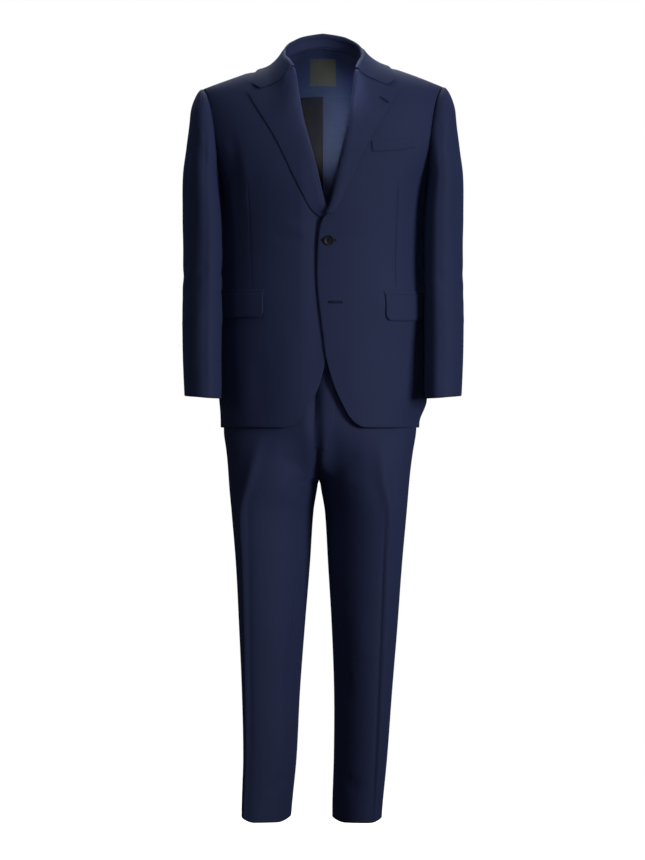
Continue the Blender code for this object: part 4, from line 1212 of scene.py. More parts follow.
def linked(name, data, look):
    """A piece with a mesh and a look, on the scene and riding on the suit."""
    data.materials.append(look)
    item = bpy.data.objects.new(name, data)
    bpy.context.scene.collection.objects.link(item)
    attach(item, "root")
    return item


def sheet(node, point, look, group="jacket", side="left", thickness=CLOTH, grid=GRID, held="hung",
          rests_on=(), slot="suiting", relief=None, columns=(), rows=(), hold=None, dip=SEAM_DIP,
          parts=(), part_of_another=False):
    """A closed thin shell of cloth over a surface of the left half; its flat size is worked out too.

    A narrow strip that is part of another sheet is returned before its flat size is worked out.
    """
    width, height = lengths(point)
    u, v = np.meshgrid(edged(width, grid, columns), edged(height, grid, rows))
    under_u, under_v = inset(point, u, v, -UNDERLAP)
    u, v = inset(point, u, v, SEAM_GAP / 2)
    face, normal = point(u, v), normal_at(point, u, v)
    under = point(under_u, under_v)
    mirror = MIRROR if side == "right" else 1.0
    across, up = arcs(face, 1), arcs(face, 0)
    edges = across, across[:, -1:] - across, up, up[-1:] - up
    surface_lift = -dip * sum(np.exp(-((edge / SEAM_REACH) ** 2)) for edge in edges).clip(0, 1)
    if relief:
        surface_lift = surface_lift + relief(face, across, up)
    lift = crease_lift(group, face * mirror, normal * mirror) + fullness(group, face, normal)
    outer = face + normal * (lift + surface_lift)[..., None]
    inner = under + normal * (lift - thickness)[..., None]
    if hold:
        outer, inner = hold(outer, SEAM_GAP / 2), hold(inner, -UNDERLAP)
    points = np.concatenate((outer.reshape(-1, 3), inner.reshape(-1, 3))) * mirror
    points = settled(group, points)
    faces = grid_faces(*u.shape)
    corners = points[faces]
    sweep = np.cross(corners[:, 2] - corners[:, 0], corners[:, 3] - corners[:, 1])
    if (corners.mean(axis=1) * sweep).sum() < 0:
        faces = faces[:, ::-1]
    name = f"cloth_{node}"
    data = bpy.data.meshes.new(name)
    data.from_pydata(points.tolist(), [], faces.tolist())
    places = np.stack((across - across[:, -1:] / 2, up), axis=-1).reshape(-1, 2)
    places = np.concatenate((places, places))[faces.ravel()]
    data.uv_layers.new(name="cloth").data.foreach_set("uv", places.ravel())
    data.shade_smooth()
    data.set_sharp_from_angle(angle=math.radians(SHARP_EDGE))
    item = linked(name, data, look)
    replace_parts(item, node)
    if part_of_another:
        return item
    cut = float(across[:, -1].max()), float(up[-1].max())
    area = max(min(flat_area(face), cut[0] * cut[1]), LEAST_CUT * cut[0] * cut[1])
    return item


def both(node, surface_of, look, **words):
    """The same piece on each side; surface_of gives a side's surface on the left half."""
    for side in ("left", "right"):
        named = {**words, "rests_on": [name.format(side=side) for name in words.get("rests_on", ())]}
        sheet(f"{node}_{side}", surface_of(side), look, side=side, **named)


# ---------------------------------------------------------------- materials

class Value:
    """A number that varies over a surface; each operator on it adds a Math node."""

    def __init__(self, look, socket):
        self.look = look
        self.socket = socket

    def math(self, operation, *others):
        feeds = dict(enumerate((self, *others)))
        return Value(self.look, self.look.node("ShaderNodeMath", {"operation": operation}, feeds).outputs[0])

    def __add__(self, other):
        return self.math("ADD", other)

    def __sub__(self, other):
        return self.math("SUBTRACT", other)

    def __rsub__(self, other):
        return (self * -1) + other

    def __mul__(self, other):
        return self.math("MULTIPLY", other)

    __radd__ = __add__
    __rmul__ = __mul__

    def sine(self):
        return self.math("SINE")

    def clipped(self):
        return self.math("MAXIMUM", 0.0).math("MINIMUM", 1.0)


class Look:
    """One material, and the one way in which nodes are added to it."""

    def __init__(self, name, roughness, specular):
        self.material = bpy.data.materials.new(name)
        self.material.use_nodes = True
        self.tree = self.material.node_tree
        self.shader = self.tree.nodes["Principled BSDF"]
        self.shader.inputs["Roughness"].default_value = roughness
        self.shader.inputs["Specular IOR Level"].default_value = specular

    def node(self, kind, settings=None, feeds=None):
        made = self.tree.nodes.new(kind)
        for key, value in (settings or {}).items():
            setattr(made, key, value)
        for key, value in (feeds or {}).items():
            self.feed(made.inputs[key], value)
        return made

    def feed(self, socket, value):
        if isinstance(value, Value):
            value = value.socket
        if isinstance(value, bpy.types.NodeSocket):
            self.tree.links.new(value, socket)
        else:
            socket.default_value = value

    def split(self, spot):
        """The parts of a vector, and the vector."""
        parts = self.node("ShaderNodeSeparateXYZ", None, {0: spot}).outputs
        return (*(Value(self, part) for part in parts), spot)

    def on_cloth(self):
        """Where a point is on the cloth, in metres across and up."""
        return self.split(self.node("ShaderNodeUVMap", {"uv_map": "cloth"}).outputs[0])

    def in_space(self):
        return self.split(self.node("ShaderNodeTexCoord").outputs["Object"])

    def noise(self, spot, scale, detail=2.0, roughness=0.5):
        spot = self.node("ShaderNodeMapping", None, {"Vector": spot, "Scale": scale}).outputs[0]
        feeds = {"Vector": spot, "Scale": 1.0, "Detail": detail, "Roughness": roughness}
        return Value(self, self.node("ShaderNodeTexNoise", None, feeds).outputs[0])

    def blend(self, share, first, second):
        made = self.node("ShaderNodeMix", {"data_type": "RGBA"})
        for socket, value in zip((0, 6, 7), (share, (*first, 1.0), (*second, 1.0))):
            self.feed(made.inputs[socket], value)
        return made.outputs[2]

    def bump(self, height, strength, distance):
        feeds = {"Strength": strength, "Distance": distance, "Height": height}
        self.feed(self.shader.inputs["Normal"], self.node("ShaderNodeBump", None, feeds).outputs[0])

    def paint(self, colour, tone, dark, light, roughness):
        """A colour, from a darker to a lighter share of it, and how rough it is."""
        shades = (shade(colour, share) for share in (dark, light))
        self.feed(self.shader.inputs["Base Color"], self.blend(tone.clipped(), *shades))
        self.feed(self.shader.inputs["Roughness"], roughness)

    def sheen(self, weight, roughness, tint):
        self.shader.inputs["Sheen Weight"].default_value = weight
        self.shader.inputs["Sheen Roughness"].default_value = roughness
        self.shader.inputs["Sheen Tint"].default_value = (*tint, 1.0)


TWILL_PITCH = 0.0010
THREAD_PITCH = 0.00055
SATIN_PITCH = 0.0006
LABEL_PITCH = (0.0005, 0.0007)
SEWING_PITCH = 0.00040
TURN = 2 * math.pi


def shade(colour, share):
    return tuple(channel * share for channel in colour)


def ribs(place, pitch):
    return (place * (TURN / pitch)).sine()


def wool(name, colour):
    """Fine worsted: a twill rib, single threads, and a slight melange."""
    look = Look(name, roughness=0.74, specular=0.12)
    across, up, _, spot = look.on_cloth()
    rib = ribs(across + up, TWILL_PITCH)
    thread = ribs(across, THREAD_PITCH) * ribs(up, THREAD_PITCH)
    fibres = look.noise(spot, (900.0, 260.0, 1.0), detail=3.0, roughness=0.6)
    cloud = look.noise(spot, (7.0, 5.0, 1.0))
    tone = rib * 0.10 + thread * 0.07 + fibres * 0.50 + cloud * 0.30 + 0.10
    look.paint(colour, tone, dark=0.74, light=1.26, roughness=0.70 + fibres * 0.10)
    look.bump(rib * 0.5 + thread * 0.3 + fibres * 0.6, strength=0.35, distance=0.00012)
    look.sheen(weight=0.10, roughness=0.42, tint=(0.20, 0.34, 0.90))
    return look.material


def satin(name, colour):
    """Smooth lining: very fine ribs up and down, and a soft gloss."""
    look = Look(name, roughness=0.58, specular=0.03)
    across, _, _, spot = look.on_cloth()
    rib = ribs(across, SATIN_PITCH)
    slub = look.noise(spot, (1400.0, 60.0, 1.0))
    look.paint(colour, rib * 0.08 + slub * 0.70 + 0.15, dark=0.85, light=1.15, roughness=0.48 + slub * 0.10)
    look.bump(rib * 0.4 + slub * 0.4, strength=0.25, distance=0.00006)
    look.sheen(weight=0.01, roughness=0.3, tint=(0.4, 0.5, 0.9))
    return look.material


def woven_label(name, colour):
    """Close plain weave, coarser up than across."""
    look = Look(name, roughness=0.60, specular=0.15)
    across, up, _, spot = look.on_cloth()
    thread = ribs(across, LABEL_PITCH[0]) * 0.5 + ribs(up, LABEL_PITCH[1]) * 0.5
    fuzz = look.noise(spot, (700.0, 700.0, 1.0))
    look.paint(colour, thread * 0.18 + fuzz * 0.50 + 0.25, dark=0.7, light=1.3, roughness=0.50 + fuzz * 0.12)
    look.bump(thread, strength=0.3, distance=0.00010)
    return look.material


def horn(name, colour):
    """Dark horn: faint streaks under a dull polish."""
    look = Look(name, roughness=0.46, specular=0.20)
    spot = look.in_space()[-1]
    streak = look.noise(spot, (160.0, 160.0, 620.0), detail=4.0, roughness=0.6)
    cloud = look.noise(spot, (45.0, 45.0, 45.0))
    look.paint(colour, streak * 0.9 + cloud * 0.5 - 0.25, dark=0.45, light=2.1, roughness=0.40 + cloud * 0.14)
    look.bump(streak, strength=0.15, distance=0.00008)
    return look.material


def thread(name, colour):
    """Sewing thread: a twist that runs along each stitch."""
    look = Look(name, roughness=0.80, specular=0.04)
    x, y, z, _ = look.in_space()
    twist = ribs(x + y + z, SEWING_PITCH)
    look.paint(colour, twist * 0.35 + 0.5, dark=0.75, light=1.25, roughness=0.80 - twist * 0.08)
    look.bump(twist, strength=0.4, distance=0.00010)
    return look.material


PAPER_GLOW = 0.90


def paper(name, colour):
    """The studio's floor and backdrop, with a faint grain."""
    look = Look(name, roughness=0.9, specular=0.1)
    grain = look.noise(look.in_space()[-1], (40.0, 40.0, 40.0))
    look.paint(colour, grain, dark=0.985, light=1.0, roughness=0.86 + grain * 0.06)
    look.shader.inputs["Emission Color"].default_value = WHITE
    look.shader.inputs["Emission Strength"].default_value = PAPER_GLOW
    return look.material


# ---------------------------------------------------------------- sewn lines and hard pieces

DART = ((0.149, -0.262), (0.141, -0.482))
DART_DEPTH = 0.0018
DART_WIDTH = 0.0014
DART_END = 0.12
DART_STEP = 0.0008
DART_REACH = 0.004
DART_PULL = {"left": 1.4, "right": 0.35}
DART_SEARCH = (200, 60)
THREAD_SIDES = 8
THREAD_ASIDE = (0.13, 0.97, 0.21)
STITCH_BEAD = 0.22
STITCH_PITCH = 0.0006
HOLE_POINTS = 84
HOLE_SQUARE = 1.35
HOLE_LIFT = 0.0004
LAPEL_HOLE_LIFT = 0.0008
LOWER_HOLE = (0.0240, -0.5038)
TOP_HOLE = (0.0118, TOP_BUTTON[1])
LAPEL_HOLE = (0.1200, -0.0990)
LAPEL_HOLE_TILT = -38.0
FLY_FACE = 0.0014
# The button's face: rings inward and down, as shares of its radius and height
DISH = ((0.16, 0.0), (0.12, 0.30), (0.18, 0.06))
UPWARD = 0.9
SIDEWAYS = 0.3
OUTER = 0.9
RIM_BEVEL = 0.16
HOLE_TURNS = (45, 135, 225, 315)
BUTTON_SMOOTH = 35
STRAND_SHARE = 0.62
STRAND_HEIGHT = 0.58
STRAND_SCALE = (1.0, 1.15, 0.62)
SEAT_SHUT = 0.008
SEAT_REACH = 0.040


def dart(share):
    """A sewn dart: a narrow groove between two places on the front, a share of its depth deep."""
    def relief(face, across, up):
        (top_out, top), (foot_out, foot) = DART
        run = (face[..., 2] - top) / (foot - top)
        off = face[..., 0] - mix(top_out, foot_out, run)
        ends = ease(run / DART_END) * ease((1 - run) / DART_END)
        return -share * DART_DEPTH * np.exp(-((off / DART_WIDTH) ** 2)) * ends
    return relief


def dart_columns(surface):
    """Extra columns that lie close together along the dart."""
    u, v = np.meshgrid(*(shares(count) for count in DART_SEARCH))
    face = surface(u, v)
    width = lengths(surface)[0]
    found = []
    for out, height in DART:
        nearest = np.hypot(face[..., 0] - out, face[..., 2] - height).argmin()
        found.append(u.ravel()[nearest])
    reach, step = DART_REACH / width, DART_STEP / width
    return np.arange(min(found) - reach, max(found) + reach, step)


def loop(name, spots, radius, look):
    """A thread laid in a loop through points, with the small beads of close stitches."""
    ahead = unit(np.roll(spots, -1, axis=0) - np.roll(spots, 1, axis=0))
    first = unit(np.cross(ahead, np.array(THREAD_ASIDE)))
    second = np.cross(ahead, first)
    run = np.concatenate(((0.0,), np.cumsum(np.linalg.norm(np.diff(spots, axis=0), axis=1))))
    size = radius * (1 + STITCH_BEAD * np.sin(TURN * run / STITCH_PITCH))
    turns = (TURN * np.arange(THREAD_SIDES) / THREAD_SIDES)[None, :, None]
    ring = first[:, None] * np.cos(turns) + second[:, None] * np.sin(turns)
    points = spots[:, None] + ring * size[:, None, None]
    index = np.arange(len(spots) * THREAD_SIDES).reshape(-1, THREAD_SIDES)
    after = np.roll(index, -1, axis=0)
    quads = np.stack((index, np.roll(index, -1, 1), np.roll(after, -1, 1), after), -1)
    mesh = bmesh.new()
    verts = [mesh.verts.new(spot) for spot in points.reshape(-1, 3)]
    for corners in quads.reshape(-1, 4).tolist():
        mesh.faces.new([verts[i] for i in corners])
    bmesh.ops.recalc_face_normals(mesh, faces=mesh.faces)
    data = bpy.data.meshes.new(name)
    mesh.to_mesh(data)
    mesh.free()
    data.shade_smooth()
    item = linked(name, data, look)
    return item


def buttonhole(name, surface, centre, length, tilt, look, width=0.0034, radius=0.0008):
    """A worked buttonhole: close stitches round a slit, laid on a front-view surface."""
    turns = TURN * shares(HOLE_POINTS)[:-1]
    straight = (length - width) / 2 * np.clip(np.cos(turns) * HOLE_SQUARE, -1, 1)
    out, high = straight + width / 2 * np.cos(turns), width / 2 * np.sin(turns)
    cos, sin = math.cos(math.radians(tilt)), math.sin(math.radians(tilt))
    x = centre[0] + out * cos - high * sin
    z = centre[1] + out * sin + high * cos
    spots = surface(x, z) + normal_at(surface, x, z) * HOLE_LIFT
    return loop(name, settled("jacket", spots), radius, look)


def closed_seat(spots, gap, side):
    """A trouser panel with its inner edge brought to the midline seam above the crotch."""
    held = spots.copy()
    out, height = spots[..., 0], spots[..., 2]
    seam = midline(side, height) + gap
    edge = out.min(axis=1, keepdims=True)
    shut = ease((height - CROTCH + SEAT_SHUT) / SEAT_SHUT)
    near = ease(1 - (out - edge) / SEAT_REACH)
    held[..., 0] = out + (seam - edge) * shut * near
    held[..., 0] = np.where(height > CROTCH, np.maximum(held[..., 0], seam), held[..., 0])
    return held


def clear_selection():
    bpy.ops.object.select_all(action="DESELECT")


def chosen(item):
    """Only this piece is selected, and the operators work on it."""
    clear_selection()
    item.select_set(True)
    bpy.context.view_layer.objects.active = item


def place_applied():
    bpy.ops.object.transform_apply(location=True, rotation=True, scale=True)


def pick(item, test):
    """Select the faces of the edited mesh that pass a test on their centre and normal."""
    bpy.ops.mesh.select_mode(type="FACE")
    bpy.ops.mesh.select_all(action="DESELECT")
    mesh = bmesh.from_edit_mesh(item.data)
    for face in mesh.faces:
        face.select_set(test(face.calc_center_median(), face.normal))
    bmesh.update_edit_mesh(item.data)


def button_blank(radius, height, hole, spread, sides, look):
    """A dished four-hole button, its back on the ground and its face up."""
    clear_selection()
    bpy.ops.mesh.primitive_cylinder_add(
        vertices=sides, radius=radius, depth=height, location=(0, 0, height / 2))
    item = bpy.context.object
    place_applied()
    bpy.ops.object.mode_set(mode="EDIT")
    pick(item, lambda centre, normal: normal.z > UPWARD and centre.z > height / 2)
    for inward_by, down_by in DISH:
        bpy.ops.mesh.inset(thickness=inward_by * radius, depth=-down_by * height)
    pick(item, lambda centre, normal: abs(normal.z) < SIDEWAYS and centre.length > OUTER * radius)
    bpy.ops.mesh.bevel(offset=RIM_BEVEL * height, segments=3, affect="EDGES")
    bpy.ops.object.mode_set(mode="OBJECT")
    for turn in HOLE_TURNS:
        clear_selection()
        across, up = spread * math.cos(math.radians(turn)), spread * math.sin(math.radians(turn))
        bpy.ops.mesh.primitive_cylinder_add(
            vertices=16, radius=hole, depth=4 * height, location=(across, up, height / 2))
        cutter = bpy.context.object
        chosen(item)
        cut = item.modifiers.new("hole", "BOOLEAN")
        cut.operation, cut.object, cut.solver = "DIFFERENCE", cutter, "EXACT"
        bpy.ops.object.modifier_apply(modifier=cut.name)
        bpy.data.objects.remove(cutter, do_unlink=True)
    bpy.ops.object.shade_smooth_by_angle(angle=math.radians(BUTTON_SMOOTH))
    item.data.materials.clear()
    item.data.materials.append(look)
    return item


def strands(height, hole, spread, look):
    """Two bars of thread over the button, each through a pair of holes."""
    made = []
    reach = spread * math.cos(math.radians(HOLE_TURNS[0]))
    for way in (-1, 1):
        clear_selection()
        bpy.ops.mesh.primitive_torus_add(
            major_segments=28, minor_segments=8, major_radius=reach, minor_radius=STRAND_SHARE * hole,
            location=(0, way * reach, STRAND_HEIGHT * height), rotation=(math.pi / 2, 0, 0))
        bpy.ops.object.mode_set(mode="EDIT")
        bpy.ops.mesh.select_all(action="SELECT")
        bpy.ops.transform.resize(value=STRAND_SCALE)
        bpy.ops.object.mode_set(mode="OBJECT")
        place_applied()
        bpy.ops.object.shade_smooth()
        made.append(bpy.context.object)
    chosen(made[0])
    made[1].select_set(True)
    bpy.ops.object.join()
    made[0].data.materials.clear()
    made[0].data.materials.append(look)
    return made[0]


def button_kit(radius, height, sides, share, sizes, look):
    """A button and the strands that sew it on, to be copied; share scales the holes."""
    hole, spread = sizes.hole * share, sizes.spread * share
    blank = button_blank(radius, height, hole, spread, sides, look["horn"])
    return blank, strands(height, hole, spread, look["thread"])


def copied(item, name, group, centre, normal):
    """A copy with its own mesh, set on a settled point of the cloth and facing along a normal."""
    centre = settled(group, np.asarray(centre, dtype=float))
    made = item.copy()
    made.data = item.data.copy()
    made.name = made.data.name = name
    bpy.context.scene.collection.objects.link(made)
    turned = Vector(normal).to_track_quat("Z", "Y").to_matrix().to_4x4()
    made.matrix_world = Matrix.Translation(Vector(centre)) @ turned
    chosen(made)
    place_applied()
    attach(made, "root")
    return made


def sew_on(kit, name, node, group, centre, normal):
    """A button and its strands, in the place of a node of the frame."""
    blank, sewing = kit
    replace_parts(copied(blank, name, group, centre, normal), node)
    copied(sewing, f"{name}_thread", group, centre, normal)


# ---------------------------------------------------------------- sizes and colours a user may change

def colour_value(name, description, default):
    return bpy.props.FloatVectorProperty(
        name=name, description=description, subtype="COLOR", size=3, default=default)


def length_value(name, description, default, **limits):
    return bpy.props.FloatProperty(
        name=name, description=description, unit="LENGTH", default=default, **limits)


def power_value(name, description, default):
    return bpy.props.FloatProperty(
        name=name, description=description, subtype="POWER", default=default, min=0.0)


class SuitColours(bpy.types.PropertyGroup):
    """Colours of the suit's cloth, lining, the lining's copy with painted shade, label, buttons and thread.
    """

    cloth: colour_value("Cloth", "Colour of the wool", (0.0155, 0.0215, 0.0600))
    lining: colour_value("Lining", "Colour of the lining on the wearer's left", (0.0165, 0.0215, 0.0480))
    # Dark lining: the same lining as a far darker copy, with shade painted into its colour for the shadow
    # inside the back on the wearer's right.
    dark_lining: colour_value(
        "Dark lining", "Colour of the lining on the wearer's right", (0.0018, 0.0020, 0.0027))
    label: colour_value("Label", "Colour of the bare woven label", (0.034, 0.037, 0.030))
    button: colour_value("Buttons", "Colour of the horn buttons", (0.0026, 0.0031, 0.0060))
    thread: colour_value("Thread", "Colour of the sewing thread", (0.0018, 0.0026, 0.0085))


class SuitSizes(bpy.types.PropertyGroup):
    """Sizes of the small pieces, and how fine the cloth's grid is."""

    grid: length_value("Cloth grid", "Distance between the points of a sheet", GRID, min=0.002, max=0.02)
    hole: length_value("Button holes", "Radius of a hole in a front button", 0.0010, min=0.0004, max=0.002)
    spread: length_value(
        "Hole spread", "From a front button's middle to its holes", 0.0026, min=0.001, max=0.005)
    buttonhole: length_value(
        "Buttonhole", "Length of a buttonhole in the front edge", 0.028, min=0.01, max=0.04)
    lapel_hole: length_value(
        "Lapel buttonhole", "Length of the buttonhole in the lapel", 0.021, min=0.01, max=0.04)


class SuitStage(bpy.types.PropertyGroup):
    """The studio round the suit."""

    floor: length_value("Floor", "Height of the studio floor", -1.60)
    distance: length_value("Camera distance", "From the camera to the suit", 16.0, min=2.0, max=30.0)
    key: power_value("Key light", "Power of the light at the wearer's left front", 24.5)
    side: power_value("Side light", "Power of the light at the wearer's right", 0.9)
    front: power_value("Front light", "Power of the light beside the camera", 2.4)
    top: power_value("Top light", "Power of the light overhead", 50.0)
    neck: power_value("Neck light", "Power of the small light into the neck", 0.14)
    rear: power_value("Rear light", "Power of the light behind the suit", 16.0)
    surround: bpy.props.FloatProperty(
        name="Surround", description="Strength of the white room's own light", default=0.04, min=0.0)


LOOKS = {}


def looks(context):
    """The suit's materials, made once from its colours."""
    if not LOOKS:
        colours = context.scene.suit_colours
        LOOKS.update({
            "wool": wool("navy_wool", colours.cloth),
            "lining": satin("blue_grey_lining", colours.lining),
            # The darker copy of the lining has painted shade in its colour.
            "dark_lining": satin("dark_lining", colours.dark_lining),
            "label": woven_label("bare_label", colours.label),
            "horn": horn("dark_horn", colours.button),
            "thread": thread("dark_thread", colours.thread),
        })
    return LOOKS


# ---------------------------------------------------------------- the pieces

SIDES = ("left", "right")
# The collar's grid is a share of the cloth's; the others are distances
COLLAR_GRID = 0.6
LABEL_GRID = 0.002
FACING_GRID = 0.0025
FLY_GRID = 0.003
LINING_GRID = 0.006
ROLL_COLUMNS = (0.6, 0.8, 1.0)
CREST_ROWS = (0.03, 0.05, 0.10, 0.14, 0.19, 0.22, 0.27, 0.30)
CREASE_COLUMNS = (0.0, 0.006, 0.012, 0.02, 0.026, 0.032, 0.038, 0.044, 0.05)


class SUIT_OT_body(bpy.types.Operator):
    """Cut and sew the jacket's foreparts, side panels and back"""
    bl_idname = "suit.body"
    bl_label = "Jacket body"

    def execute(self, context):
        cloth, grid = looks(context)["wool"], context.scene.suit_sizes.grid
        columns = dart_columns(forepart("left"))
        for side in SIDES:
            sheet(f"forepart_{side}", forepart(side), cloth, side=side, grid=grid,
                  relief=dart(DART_PULL[side]), columns=columns, rests_on=[f"back_{side}"])
        for node, panel in (("side_panel", side_panel()), ("back", back_panel())):
            both(node, lambda side, panel=panel: panel, cloth, grid=grid, rests_on=["forepart_{side}"])
        return {"FINISHED"}


class SUIT_OT_sleeves(bpy.types.Operator):
    """Set the two-piece sleeves into the armholes"""
    bl_idname = "suit.sleeves"
    bl_label = "Sleeves"

    def execute(self, context):
        cloth, grid = looks(context)["wool"], context.scene.suit_sizes.grid
        both("top_sleeve", lambda side: sleeve_part(SLEEVE_BACK_SEAM - 360, SLEEVE_FRONT_SEAM), cloth,
             group="sleeve", grid=grid, rests_on=["forepart_{side}", "back_{side}"])
        both("under_sleeve", lambda side: sleeve_part(SLEEVE_FRONT_SEAM, SLEEVE_BACK_SEAM), cloth,
             group="sleeve", grid=grid, rests_on=["top_sleeve_{side}"])
        return {"FINISHED"}


class SUIT_OT_collar(bpy.types.Operator):
    """Turn out the lapels and fold down the collar"""
    bl_idname = "suit.collar"
    bl_label = "Lapels and collar"

    def execute(self, context):
        cloth, grid = looks(context)["wool"], context.scene.suit_sizes.grid * COLLAR_GRID
        rolled = [row.share * share for row in LAPEL_ROLL[1:4] for share in ROLL_COLUMNS]
        both("lapel", lapel, cloth, grid=grid, thickness=LAPEL_CLOTH, held="folded", columns=rolled,
             dip=SHALLOW_DIP, rests_on=["forepart_{side}"])
        sheet("collar_fall", downward(across_neck(collar_fall)), cloth, grid=grid,
              thickness=COLLAR_CLOTH, held="folded", rows=[1 - share for share in CREST_ROWS],
              dip=SHALLOW_DIP, rests_on=["collar_stand", "back_left"])
        sheet("collar_stand", across_neck(collar_stand), cloth, grid=grid, thickness=COLLAR_CLOTH,
              held="folded", rests_on=["back_left", "back_right"])
        return {"FINISHED"}


class SUIT_OT_insides(bpy.types.Operator):
    """Line the back, face its neck, and sew in the bare label"""
    bl_idname = "suit.insides"
    bl_label = "Facing, label and lining"

    def execute(self, context):
        look = looks(context)
        facing = evened(inside_back(FACING_LIFT, FACING_HALF, None, FACING_FOOT))
        sheet("neck_facing", facing, look["wool"], group="facing", grid=FACING_GRID,
              thickness=FINE_CLOTH, rests_on=["back_left", "back_right"])
        label = evened(inside_back(LABEL_LIFT, LABEL_WIDTH / 2, LABEL_TOP, LABEL_FOOT))
        sheet("label", label, look["label"], group="facing", thickness=LABEL_CLOTH, grid=LABEL_GRID,
              slot="label", dip=SHALLOW_DIP, rests_on=["neck_facing"])
        half = lifted(lining, FACING_LIFT)
        # The wearer's right half of the back lining takes the copy with painted shade, the left half the lit
        # lining.
        for side, tone in zip(SIDES, ("lining", "dark_lining")):
            sheet(f"lining_back_{side}", half, look[tone], side=side, thickness=FINE_CLOTH,
                  slot="lining", grid=LINING_GRID, rests_on=[f"back_{side}"])
        return {"FINISHED"}


class SUIT_OT_pockets(bpy.types.Operator):
    """Sew on the flaps, the jets and the breast welt"""
    bl_idname = "suit.pockets"
    bl_label = "Pockets"

    def execute(self, context):
        cloth = looks(context)["wool"]
        flap_out = lifted(flap, lambda u, v: APPLIED_LIFT + FLAP_STAND * (1 - v))
        words = {"grid": FINE_GRID, "thickness": LAPEL_CLOTH}
        for side in SIDES:
            strip = sheet(f"pocket_jet_{side}", lifted(jet, JET_LIFT), cloth, side=side, dip=0.0,
                          part_of_another=True, **words)
            sheet(f"pocket_flap_{side}", flap_out, cloth, side=side, parts=[strip],
                  rests_on=[f"forepart_{side}", f"side_panel_{side}"], **words)
        sheet("breast_welt", lifted(welt, APPLIED_LIFT), cloth, rests_on=["forepart_left"], **words)
        return {"FINISHED"}


class SUIT_OT_trousers(bpy.types.Operator):
    """Make up the trousers: legs, waistband and fly"""
    bl_idname = "suit.trousers"
    bl_label = "Trousers"

    def execute(self, context):
        cloth, grid = looks(context)["wool"], context.scene.suit_sizes.grid
        creased = [0.5 + way * share for way in (-1, 1) for share in CREASE_COLUMNS]
        for name, front in (("trouser_front", True), ("trouser_back", False)):
            for side in SIDES:
                def hold(spots, gap, side=side):
                    return closed_seat(spots, gap, side)
                sheet(f"{name}_{side}", trouser_panel(side, front), cloth, side=side, group="trousers",
                      grid=grid, columns=creased, hold=hold, rests_on=[f"waistband_{side}"])
        both("waistband", waistband, cloth, group="trousers", held="stretched",
             rests_on=["trouser_front_{side}", "trouser_back_{side}"])
        sheet("fly", lifted(fly, FLY_FACE), cloth, group="trousers", grid=FLY_GRID,
              thickness=FINE_CLOTH, rests_on=["trouser_front_left", "trouser_front_right"])
        return {"FINISHED"}


class SUIT_OT_buttons(bpy.types.Operator):
    """Turn the buttons and sew them on"""
    bl_idname = "suit.buttons"
    bl_label = "Buttons"

    def execute(self, context):
        look, sizes = looks(context), context.scene.suit_sizes
        left, right = front_face("left"), front_face("right")
        large = button_kit(BUTTON_RADIUS, BUTTON_HEIGHT, BUTTON_SIDES, 1.0, sizes, look)
        normal = normal_at(left, *TOP_BUTTON)
        spot = left(*TOP_BUTTON) + normal * BUTTON_STAND
        sew_on(large, "button_front", "front_button", "jacket", spot, normal)
        at = -LOWER_BUTTON[0], LOWER_BUTTON[1]
        normal = normal_at(right, *at)
        spot = right(*at) + normal * SEAM_GAP
        sew_on(large, "button_lower", "lower_button", "jacket", spot * MIRROR, normal * MIRROR)
        small = button_kit(CUFF_BUTTON_RADIUS, CUFF_BUTTON_HEIGHT, CUFF_BUTTON_SIDES,
                           CUFF_BUTTON_RADIUS / BUTTON_RADIUS, sizes, look)
        for i in range(CUFF_BUTTON_COUNT):
            at = CUFF_BUTTON_ANGLE, CUFF + CUFF_BUTTON_FIRST + CUFF_BUTTON_PITCH * i
            normal = normal_at(sleeve_point, *at)
            normal = -normal if normal[1] < 0 else normal
            spot = sleeve_point(*at) + normal * CUFF_BUTTON_STAND
            for side, mirror in (("left", 1.0), ("right", MIRROR)):
                sew_on(small, f"button_cuff_{side}_{i + 1}", f"cuff_button_{side}_{i + 1}", "sleeve",
                       spot * mirror, normal * mirror)
        for item in (*large, *small):
            bpy.data.objects.remove(item, do_unlink=True)
        return {"FINISHED"}


class SUIT_OT_buttonholes(bpy.types.Operator):
    """Work the buttonholes of the front edge and the lapel"""
    bl_idname = "suit.buttonholes"
    bl_label = "Buttonholes"

    def execute(self, context):
        look, sizes = looks(context)["thread"], context.scene.suit_sizes
        left = front_face("left")
        buttonhole("buttonhole_lower", left, LOWER_HOLE, sizes.buttonhole, 0.0, look)
        buttonhole("buttonhole_top", left, TOP_HOLE, sizes.buttonhole, 0.0, look)
        lapel_top = lifted(left, LAPEL_EDGE_LIFT + LAPEL_HOLE_LIFT)
        buttonhole("buttonhole_lapel", lapel_top, LAPEL_HOLE, sizes.lapel_hole, LAPEL_HOLE_TILT, look,
                   width=0.0030, radius=0.0007)
        return {"FINISHED"}


WHITE = (1.0, 1.0, 1.0, 1.0)
FLOOR_RADIUS = 3.2
FLOOR_THICKNESS = 0.02
IMAGE_HEIGHT = 860
METRES_PER_PIXEL = 0.0020
VIEW_CENTRE = (-0.001, -0.758)
SENSOR = 36.0
Lamp = namedtuple("Lamp", "name place size_x size_y share aim spread")
LAMPS = (
    Lamp("key_light", (3.6, -3.4, 0.1), 1.6, 1.6, "key", (0.10, 0.0, -0.46), 60.0),
    Lamp("front_light", (0.8, -7.0, 0.3), 1.6, 1.6, "front", (0.0, 0.0, -0.15), 40.0),
    Lamp("side_light", (-4.2, -2.6, 0.6), 1.4, 1.4, "side", (-0.20, 0.0, -0.20), 40.0),
    Lamp("top_light", (0.0, -0.4, 3.2), 4.0, 4.0, "top", (0.0, 0.0, -1.6), 180.0),
    Lamp("neck_light", (0.06, -2.7, 0.8), 0.07, 0.14, "neck", (0.004, 0.04, -0.104), 3.2),
    Lamp("back_light", (0.0, 3.2, 3.0), 2.0, 2.0, "rear", (0.0, 0.0, -0.5), 60.0),
)


